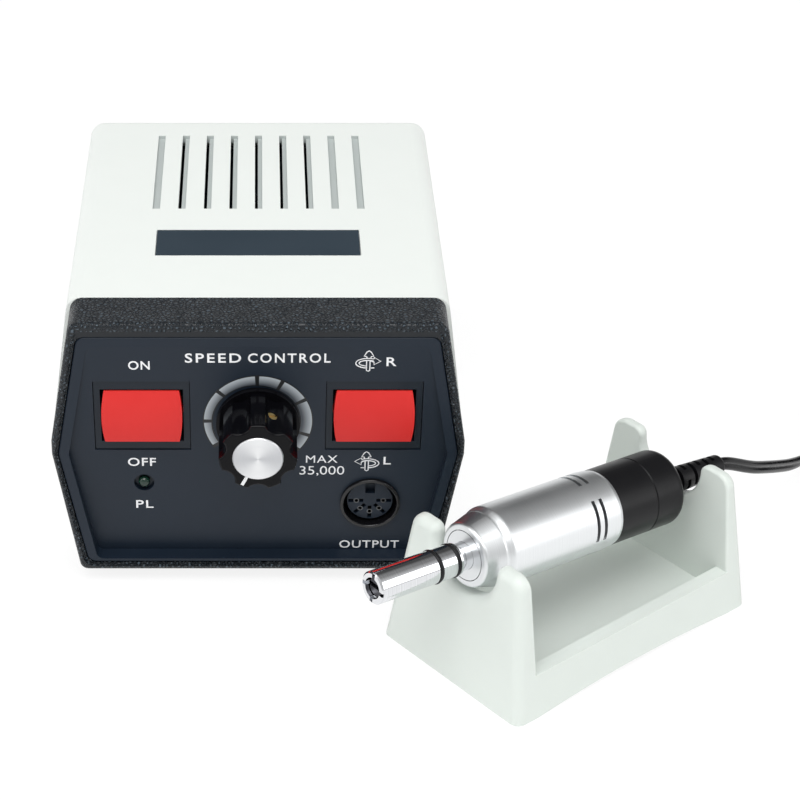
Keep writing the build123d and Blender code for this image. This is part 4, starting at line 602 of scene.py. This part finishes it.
# Two rocker switches, for power and for the turning direction. Each has a black body snapped
# into the panel and a red key that tips on two pins.
switch_black = moulded(
    "switch_black", (0.006, 0.011, 0.019), (0.008, 0.014, 0.022), 3600.0, 0.30, 0.42, 0.00002,
    specular=0.3,
)
rocker_red = moulded(
    "rocker_red", (0.66, 0.021, 0.018), (0.62, 0.018, 0.016), 3000.0, 0.34, 0.44, 0.00003,
    specular=0.35,
)
dress(["power_switch_body", "direction_switch_body"], switch_black)
dress(["power_rocker", "direction_rocker"], rocker_red)

# Speed control: a potentiometer behind the panel, and a fluted black knob with a spun aluminium
# cap, a white pointer and a brass set screw. A dial of growing steps is printed round it.
knob_z = 49.0
knob_foot = on_field(0.0, knob_z)
knob_axis = (knob_foot.translation, knob_foot.to_euler())
knob_black = moulded(
    "knob_black", (0.002, 0.002, 0.003), (0.003, 0.003, 0.004), 2400.0, 0.10, 0.18, 0.00002,
    specular=0.14,
)
brass = turned(
    "brass", (0.95, 0.74, 0.33), (0.88, 0.66, 0.27), 7000.0, 0.30, 0.42, 0.00002, knob_axis
)
shaft_steel = turned(
    "shaft_steel", (0.56, 0.56, 0.57), (0.47, 0.47, 0.48), 8000.0, 0.28, 0.42, 0.00002,
    knob_axis,
)
dress(["speed_knob"], knob_black)
dress(["knob_set_screw"], brass)
dress(["speed_pot_body", "speed_pot_shaft"], shaft_steel)

# The cap's face is spun: fine rings, with a soft sheen of paler and darker sectors.
spun_aluminium, tree, shader = new_material("spun_aluminium", (0.86, 0.87, 0.88), 0.28, 1.0)
cap_place = axis_place(tree, *knob_axis)
cap_radius = vector_maths(
    tree, "LENGTH", vector_maths(tree, "MULTIPLY", cap_place, (1.0, 1.0, 0.0))
)
cap_rings = line_noise(tree, cap_radius, 9000.0, 2.0)
cap_sectors = tree.nodes.new("ShaderNodeTexGradient")
cap_sectors.gradient_type = "RADIAL"
tree.links.new(cap_place, cap_sectors.inputs["Vector"])
half_sector = 0.25  # of a turn
cap_wave = maths(tree, "PINGPONG", cap_sectors.outputs["Fac"], half_sector)
cap_sheen = spread(tree, cap_wave, 0.0, 1.0, 0.0, half_sector, smooth=True)
ring_colour = colour_mix(tree, cap_rings, (0.50, 0.51, 0.53), (0.62, 0.63, 0.65))
tree.links.new(
    colour_mix(tree, cap_sheen, ring_colour, (0.84, 0.85, 0.86)), shader.inputs["Base Color"]
)
bump_into(tree, shader, cap_rings, 1.0, 0.00005)
dress(["knob_cap"], spun_aluminium)

# The white pointer lies in its groove in the knob's face.
pointer_turn = Matrix.Rotation(math.radians(154.3), 4, "Z")
pointer_out = Matrix.Translation((0.0, 7.85 * mm, 0.0))
pointer = block(0.86, 2.8, 0.26, pointer_turn @ pointer_out)
soften(pointer, 0.07)
knob_height = 15.86
pointer_place = on_field(0.0, knob_z, knob_height)
settle(pointer, "pointer", print_white, "speed_control", pointer_place)


def cut(piece, cutter):
    """Cuts the cutter out of a piece and takes it away."""
    modifier = piece.modifiers.new("cut", "BOOLEAN")
    modifier.operation = "DIFFERENCE"
    modifier.object = cutter
    bpy.context.view_layer.objects.active = piece
    bpy.ops.object.modifier_apply(modifier=modifier.name)
    bpy.data.objects.remove(cutter)


# The set screw's slotted head closes its hole in one of the knob's flutes.
screw_radius = 1.26 * mm
screw_depth = 1.5 * mm
screw_out = 7.5 * mm  # from the knob's axis
screw_z = 8.4  # mm over the field
screw_way = math.radians(64.29 - 90.0)
bpy.ops.mesh.primitive_cylinder_add(vertices=32, radius=screw_radius, depth=screw_depth)
screw_head = bpy.context.object
cut(screw_head, block(3.0, 0.42, 0.9, Matrix.Translation((0.0, 0.0, screw_depth / 2))))
for step in (
    Matrix.Rotation(math.radians(35.0), 4, "Z"),
    Matrix.Translation((0.0, 0.0, screw_out)),
    Matrix.Rotation(math.radians(-90.0), 4, "X"),
    Matrix.Rotation(screw_way, 4, "Z"),
):
    screw_head.data.transform(step)
screw_place = on_field(0.0, knob_z, screw_z)
settle(screw_head, "screw_head", brass, "speed_control", screw_place)

# The dial's steps are printed on a black ground, paler towards their rim.
dial_outer = 13.7
dial_start = -125.0
dial_stop = 131.0
dial_grey = moulded(
    "dial_grey", (0.40, 0.42, 0.44), (0.34, 0.36, 0.38), 5200.0, 0.35, 0.5, 0.00001, 400.0
)
tree = dial_grey.node_tree
dial_radius = vector_maths(tree, "LENGTH", axis_place(tree, *knob_axis))
dial_fade = spread(tree, dial_radius, 0.0, 1.0, (dial_outer - 2.4) * mm, dial_outer * mm)
tree.links.new(
    colour_mix(tree, dial_fade, (0.055, 0.065, 0.080), (0.42, 0.46, 0.49)),
    tree.nodes["Principled BSDF"].inputs["Base Color"],
)
dial_black = moulded(
    "dial_black", (0.006, 0.007, 0.008), (0.008, 0.009, 0.010), 5200.0, 0.35, 0.5, 0.00001,
    400.0,
)


def dial_width(angle):
    """The steps grow from the start of the dial to its stop."""
    return 1.6 + 1.2 * min(1.0, (max(angle, dial_start) - dial_start) / 150.0)


def dial_band(name, made, start, stop, outer, wider, lift):
    """A printed band round the knob between two angles clockwise from the top."""
    steps = max(4, round(abs(stop - start) / 3))
    bpy.ops.mesh.primitive_grid_add(x_subdivisions=steps, y_subdivisions=1, size=1.0)
    piece = bpy.context.object
    for v in piece.data.vertices:
        angle = start + (stop - start) * (v.co.x + 0.5)
        radius = outer - (dial_width(angle) + wider) * (0.5 - v.co.y)
        a = math.radians(angle)
        v.co = (radius * math.sin(a) * mm, radius * math.cos(a) * mm, lift * mm)
    modifier = piece.modifiers.new("ink", "SOLIDIFY")
    modifier.thickness = print_thick * mm
    modifier.offset = 0.0
    bpy.ops.object.modifier_apply(modifier=modifier.name)
    return settle(piece, name, made, "control_box", knob_foot)


dial_edge = 0.3  # that the black ground shows outside and inside the steps
dial_band(
    "dial_outline", dial_black, dial_start - 2, dial_stop + 2, dial_outer + dial_edge,
    2 * dial_edge, 0.03,
)
dial_gap = 2.3  # degrees from a step's end to the middle of the gap
dial_ends = (dial_start, -90.0, -48.0, -1.0, 27.0, 61.0, 109.0, dial_stop)
for number, (start, stop) in enumerate(zip(dial_ends, dial_ends[1:]), 1):
    dial_band(
        f"dial_step_{number}", dial_grey, start + dial_gap, stop - dial_gap, dial_outer,
        0.0, 0.07,
    )

# Power lamp in its holder, and the round output socket: a black shell, a slate insert and five
# nickel contacts.
lamp_green = moulded(
    "lamp_green", (0.005, 0.024, 0.015), (0.007, 0.030, 0.019), 3000.0, 0.14, 0.22, 0.00001,
    coat=0.15,
)
dress(["power_lamp"], lamp_green)
dress(["lamp_holder"], switch_black)
socket_black = moulded(
    "socket_black", (0.004, 0.004, 0.005), (0.006, 0.006, 0.007), 4200.0, 0.08, 0.14, 0.00001
)
dress(["output_socket_shell"], socket_black)
socket_x = 29.1
socket_z = 23.0
socket_middle = on_field(socket_x, socket_z)
contact_nickel = turned(
    "contact_nickel", (0.16, 0.165, 0.17), (0.10, 0.105, 0.11), 5000.0, 0.25, 0.35, 0.00002,
    (socket_middle.translation, socket_middle.to_euler()),
)
dress(["output_socket_contacts"], contact_nickel)

# The insert's face has a slot at each contact, out to the rim and in towards the middle, and a
# wide keyway at its top.
socket_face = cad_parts["output_socket_insert"].copy()
socket_face.data = socket_face.data.copy()
scene.collection.objects.link(socket_face)
merged = bmesh.new()
merged.from_mesh(socket_face.data)
bmesh.ops.remove_doubles(merged, verts=merged.verts, dist=0.002 * mm)
merged.to_mesh(socket_face.data)
merged.free()
slot_depth = 3.2
keyway = (4.75, 2.5, 4.7, 0.0)
slots = [(-3.65, 1.0, 3.9, turn) for turn in (90.0, 45.0, 0.0, -45.0, -90.0)]
for out, width, reach, turn in (*slots, keyway):
    turned_out = Matrix.Rotation(math.radians(turn), 4, "Z")
    slot_out = turned_out @ Matrix.Translation((0.0, out * mm, 0.0))
    slot_place = on_field(socket_x, socket_z, -slot_depth / 4) @ slot_out
    cut(socket_face, block(width, reach, slot_depth, slot_place))
settle(socket_face, "socket_face", panel_slate, "control_box")
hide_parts("output_socket_insert")

# Rear fittings: a plate with the cable bush, the fuse in its holder, the foot control's jack and
# a slide switch for hand or foot.
rear_axis = ((0.0, 0.0, 0.0), Euler((math.radians(-90.0), 0.0, 0.0)))
rear_chrome = turned(
    "rear_chrome", (0.72, 0.73, 0.75), (0.62, 0.63, 0.65), 6000.0, 0.12, 0.22, 0.00002,
    rear_axis,
)
fuse_glass, tree, shader = new_material("fuse_glass", (0.85, 0.90, 0.92), 0.05)
shader.inputs["Transmission Weight"].default_value = 0.9
bump_into(tree, shader, noise(tree, own_place(tree), 900.0).outputs["Fac"], 0.2, 0.00002)
dress(["back_panel"], panel_slate)
dress(["mains_cable_bush"], foot_rubber)
dress(["foot_control_jack", "selector_switch_body"], rear_chrome)
dress(["fuse_holder", "fuse_cap", "selector_slider"], switch_black)
dress(["fuse"], fuse_glass)

# Inside: the transformer's stack and winding under a strap, and the board with its capacitors
# and its transistor on a heat sink.
across_axis = ((0.0, 0.0, 0.0), Euler((0.0, math.radians(90.0), 0.0)))
core_steel = turned(
    "core_steel", (0.34, 0.34, 0.35), (0.22, 0.22, 0.23), 4000.0, 0.4, 0.6, 0.00008,
    across_axis, 0.8,
)
winding_copper = turned(
    "winding_copper", (0.62, 0.25, 0.10), (0.40, 0.14, 0.05), 3000.0, 0.25, 0.4, 0.00015,
    upright_axis, 0.6,
)
board_green = moulded(
    "board_green", (0.020, 0.16, 0.055), (0.014, 0.12, 0.045), 1500.0, 0.3, 0.5, 0.00004, 200.0
)
capacitor_blue = moulded(
    "capacitor_blue", (0.018, 0.035, 0.12), (0.022, 0.042, 0.14), 2500.0, 0.2, 0.3, 0.00002
)
sink_black = moulded(
    "sink_black", (0.015, 0.015, 0.017), (0.022, 0.022, 0.024), 3000.0, 0.4, 0.55, 0.00003
)
dress(["transformer_core", "transformer_strap"], core_steel)
dress(["transformer_coil"], winding_copper)
dress(["circuit_board"], board_green)
dress(["filter_capacitors"], capacitor_blue)
dress(["heat_sink"], sink_black)
dress(["power_transistor"], switch_black)

# The holder is one moulding in a cool white: two notched end plates joined by a floor and two
# low lips.
holder_white = moulded(
    "holder_white", (0.705, 0.755, 0.715), (0.685, 0.735, 0.695), 2600.0, 0.40, 0.52, 0.00005
)
dress(["handpiece_holder"], holder_white)

# The handpiece. A chromed nose with two rubber rings, a turned collar, a satin barrel and a
# black cap, all round one axis that drops a little towards the cord.
hand_start = Vector((13.07372, -71.46401, 35.4)) * mm
hand_along = Vector((0.81363544, 0.57674076, -0.07326307)).normalized()
hand_aside = hand_along.cross(Vector((0.0, 0.0, 1.0))).normalized()
hand_up = hand_aside.cross(hand_along)
hand_frame = Matrix(
    (
        (hand_aside.x, -hand_up.x, hand_along.x, hand_start.x),
        (hand_aside.y, -hand_up.y, hand_along.y, hand_start.y),
        (hand_aside.z, -hand_up.z, hand_along.z, hand_start.z),
        (0.0, 0.0, 0.0, 1.0),
    )
)
hand_axis = (hand_start, hand_frame.to_euler())
nose_chrome = turned(
    "nose_chrome", (0.80, 0.81, 0.83), (0.70, 0.71, 0.73), 2500.0, 0.06, 0.10, 0.000003,
    hand_axis,
)
barrel_satin = turned(
    "barrel_satin", (0.86, 0.88, 0.89), (0.80, 0.82, 0.83), 3200.0, 0.34, 0.38, 0.000006,
    hand_axis,
)
collar_satin = turned(
    "collar_satin", (0.80, 0.82, 0.83), (0.74, 0.76, 0.77), 4000.0, 0.30, 0.34, 0.000006,
    hand_axis,
)
cap_black = turned(
    "cap_black", (0.006, 0.006, 0.007), (0.008, 0.008, 0.009), 3000.0, 0.30, 0.36, 0.000006,
    hand_axis, 0.0, 0.22,
)
ring_rubber = moulded(
    "ring_rubber", (0.004, 0.004, 0.005), (0.006, 0.006, 0.007), 3000.0, 0.34, 0.48, 0.00003,
    specular=0.3,
)
dress(["nose_tube"], nose_chrome)
dress(["nose_o_rings", "strain_relief"], ring_rubber)
dress(["front_disc", "front_collar"], collar_satin)
dress(["motor_barrel"], barrel_satin)
dress(["rear_cap"], cap_black)

# Inside the barrel: two curved magnets, the ball bearings, the brushes in their carrier, and the
# wound rotor, whose dark dog shows in the nose.
ferrite = moulded(
    "ferrite", (0.035, 0.035, 0.038), (0.055, 0.055, 0.058), 1400.0, 0.5, 0.7, 0.00006, 300.0
)
motor_steel = turned(
    "motor_steel", (0.56, 0.56, 0.58), (0.46, 0.46, 0.48), 3500.0, 0.25, 0.4, 0.00002, hand_axis
)
dog_steel = turned(
    "dog_steel", (0.10, 0.10, 0.11), (0.07, 0.07, 0.08), 3500.0, 0.35, 0.5, 0.00002, hand_axis
)
motor_copper = turned(
    "motor_copper", (0.70, 0.30, 0.13), (0.48, 0.18, 0.07), 4000.0, 0.2, 0.35, 0.00012,
    hand_axis, 0.8,
)
motor_brass = turned(
    "motor_brass", (0.82, 0.52, 0.26), (0.66, 0.38, 0.17), 5000.0, 0.25, 0.4, 0.00003, hand_axis
)
dress(["field_magnets", "carbon_brushes"], ferrite)
dress(["bearing_outer_rings", "bearing_inner_rings", "armature_core"], motor_steel)
dress(["rotor_shaft"], dog_steel)
dress(["brush_carrier"], cap_black)
dress(["armature_winding"], motor_copper)
dress(["commutator"], motor_brass)

# The cord: two insulated cores side by side in one black jacket, from the handpiece's end down
# to the bench. The length not in use is wound up and tied beside the holder, and its tail ends
# in a round plug.
cord_width = 3.6 * mm
relief_end = 87.2 * mm
straight_out = 2.2 * mm
cord_start = hand_start + hand_along * relief_end
coil_centre = Vector((155.0, 36.0)) * mm
coil_outer = 25.1 * mm
coil_inner = 14.9 * mm
coil_low = 3.0 * mm
coil_rise = 4.2 * mm
coil_layers = 4
layer_turns = 2.0
climb_turns = 0.5
coil_start = 150.0
turn_steps = 16  # points of the cord to each turn


def coil_at(turns):
    """Centre of the wound cord after some turns, clockwise, layer over layer."""
    layer = min(int(turns / (layer_turns + climb_turns) + 1e-6), coil_layers - 1)
    turns_in_layer = turns - layer * (layer_turns + climb_turns)
    done = min(turns_in_layer / layer_turns, 1.0)
    done = done if layer % 2 == 0 else 1.0 - done
    radius = coil_outer + (coil_inner - coil_outer) * done
    climbed = max(turns_in_layer - layer_turns, 0.0) / climb_turns
    angle = math.radians(coil_start - 360.0 * turns)
    return Vector(
        (
            coil_centre.x + radius * math.cos(angle),
            coil_centre.y + radius * math.sin(angle),
            coil_low + coil_rise * (layer + climbed),
        )
    )


cord_route = (
    (94.8, -12.6, 22.4),
    (100.4, -6.1, 18.3),
    (105.8, 0.9, 14.0),
    (111.5, 8.3, 9.8),
    (117.6, 16.9, 6.4),
    (122.6, 26.6, 4.1),
    (126.46, 36.77, 3.0),
    (131.46, 45.43, 3.0),
)
tail_route = (
    (174.94, 20.33, 15.6),
    (170.94, 13.40, 15.6),
    (167.3, 5.2, 11.6),
    (165.9, -3.8, 8.6),
    (165.6, -12.4, 7.4),
    (165.6, -20.4, 7.4),
)
coil_total = coil_layers * layer_turns + (coil_layers - 1) * climb_turns
cord_points = [
    cord_start,
    cord_start + hand_along * straight_out,
    *(Vector(p) * mm for p in cord_route),
    *(coil_at(n / turn_steps) for n in range(round(coil_total * turn_steps) + 1)),
    *(Vector(p) * mm for p in tail_route),
]

# At first one core lies above the other, and the cord then turns flat over a few points.
tilt_first = math.radians(-90.0)
tilt_held = 5  # points
tilt_eased = 3
cord_line = bpy.data.curves.new("twin_cord", "CURVE")
cord_line.dimensions = "3D"
cord_line.twist_mode = "Z_UP"
cord_line.resolution_u = 4
cord_line.use_fill_caps = True
spline = cord_line.splines.new("NURBS")
spline.points.add(len(cord_points) - 1)
for number, (spot, place) in enumerate(zip(spline.points, cord_points)):
    spot.co = (*place, 1.0)
    spot.tilt = tilt_first * max(0.0, 1.0 - max(0, number - tilt_held) / tilt_eased)
spline.order_u = 3
spline.use_endpoint_u = True
cord = bpy.data.objects.new("twin_cord", cord_line)
scene.collection.objects.link(cord)
bpy.context.view_layer.update()
cord_path = [tuple(v.co) for v in bpy.data.meshes.new_from_object(cord).vertices]

# The jacket's outline: most of a circle round each core, with a groove where they meet.
core_radius = 0.95 * mm
core_offset = cord_width / 2 - core_radius
core_arc = 300.0
core_steps = 10
outline = []
for side, facing in ((1, 0.0), (-1, 180.0)):
    for step in range(core_steps + 1):
        a = math.radians(facing + core_arc * (step / core_steps - 0.5))
        outline.append((side * core_offset + core_radius * math.cos(a), core_radius * math.sin(a)))
jacket = bpy.data.curves.new("jacket", "CURVE")
jacket_line = jacket.splines.new("POLY")
jacket_line.use_cyclic_u = True
jacket_line.points.add(len(outline) - 1)
for spot, (px, py) in zip(jacket_line.points, outline):
    spot.co = (px, py, 0.0, 1.0)
jacket_shape = bpy.data.objects.new("jacket", jacket)
scene.collection.objects.link(jacket_shape)
cord_line.bevel_mode = "OBJECT"
cord_line.bevel_object = jacket_shape
bpy.context.view_layer.objects.active = cord
cord.select_set(True)
bpy.ops.object.convert(target="MESH")
cord = bpy.context.object
bpy.data.objects.remove(jacket_shape)
bpy.ops.object.shade_smooth_by_angle(angle=math.radians(60.0))
cord.select_set(False)
cord_black = moulded(
    "cord_black", (0.002, 0.002, 0.003), (0.004, 0.004, 0.005), 2800.0, 0.18, 0.28, 0.00003,
    120.0, specular=0.3,
)
cord.data.materials.clear()
cord.data.materials.append(cord_black)
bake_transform(cord)
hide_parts("handpiece_cord", "cord_coil", "cord_tail")
dress(["cord_tie", "plug_body"], switch_black)
dress(["plug_shield", "plug_pins"], rear_chrome)
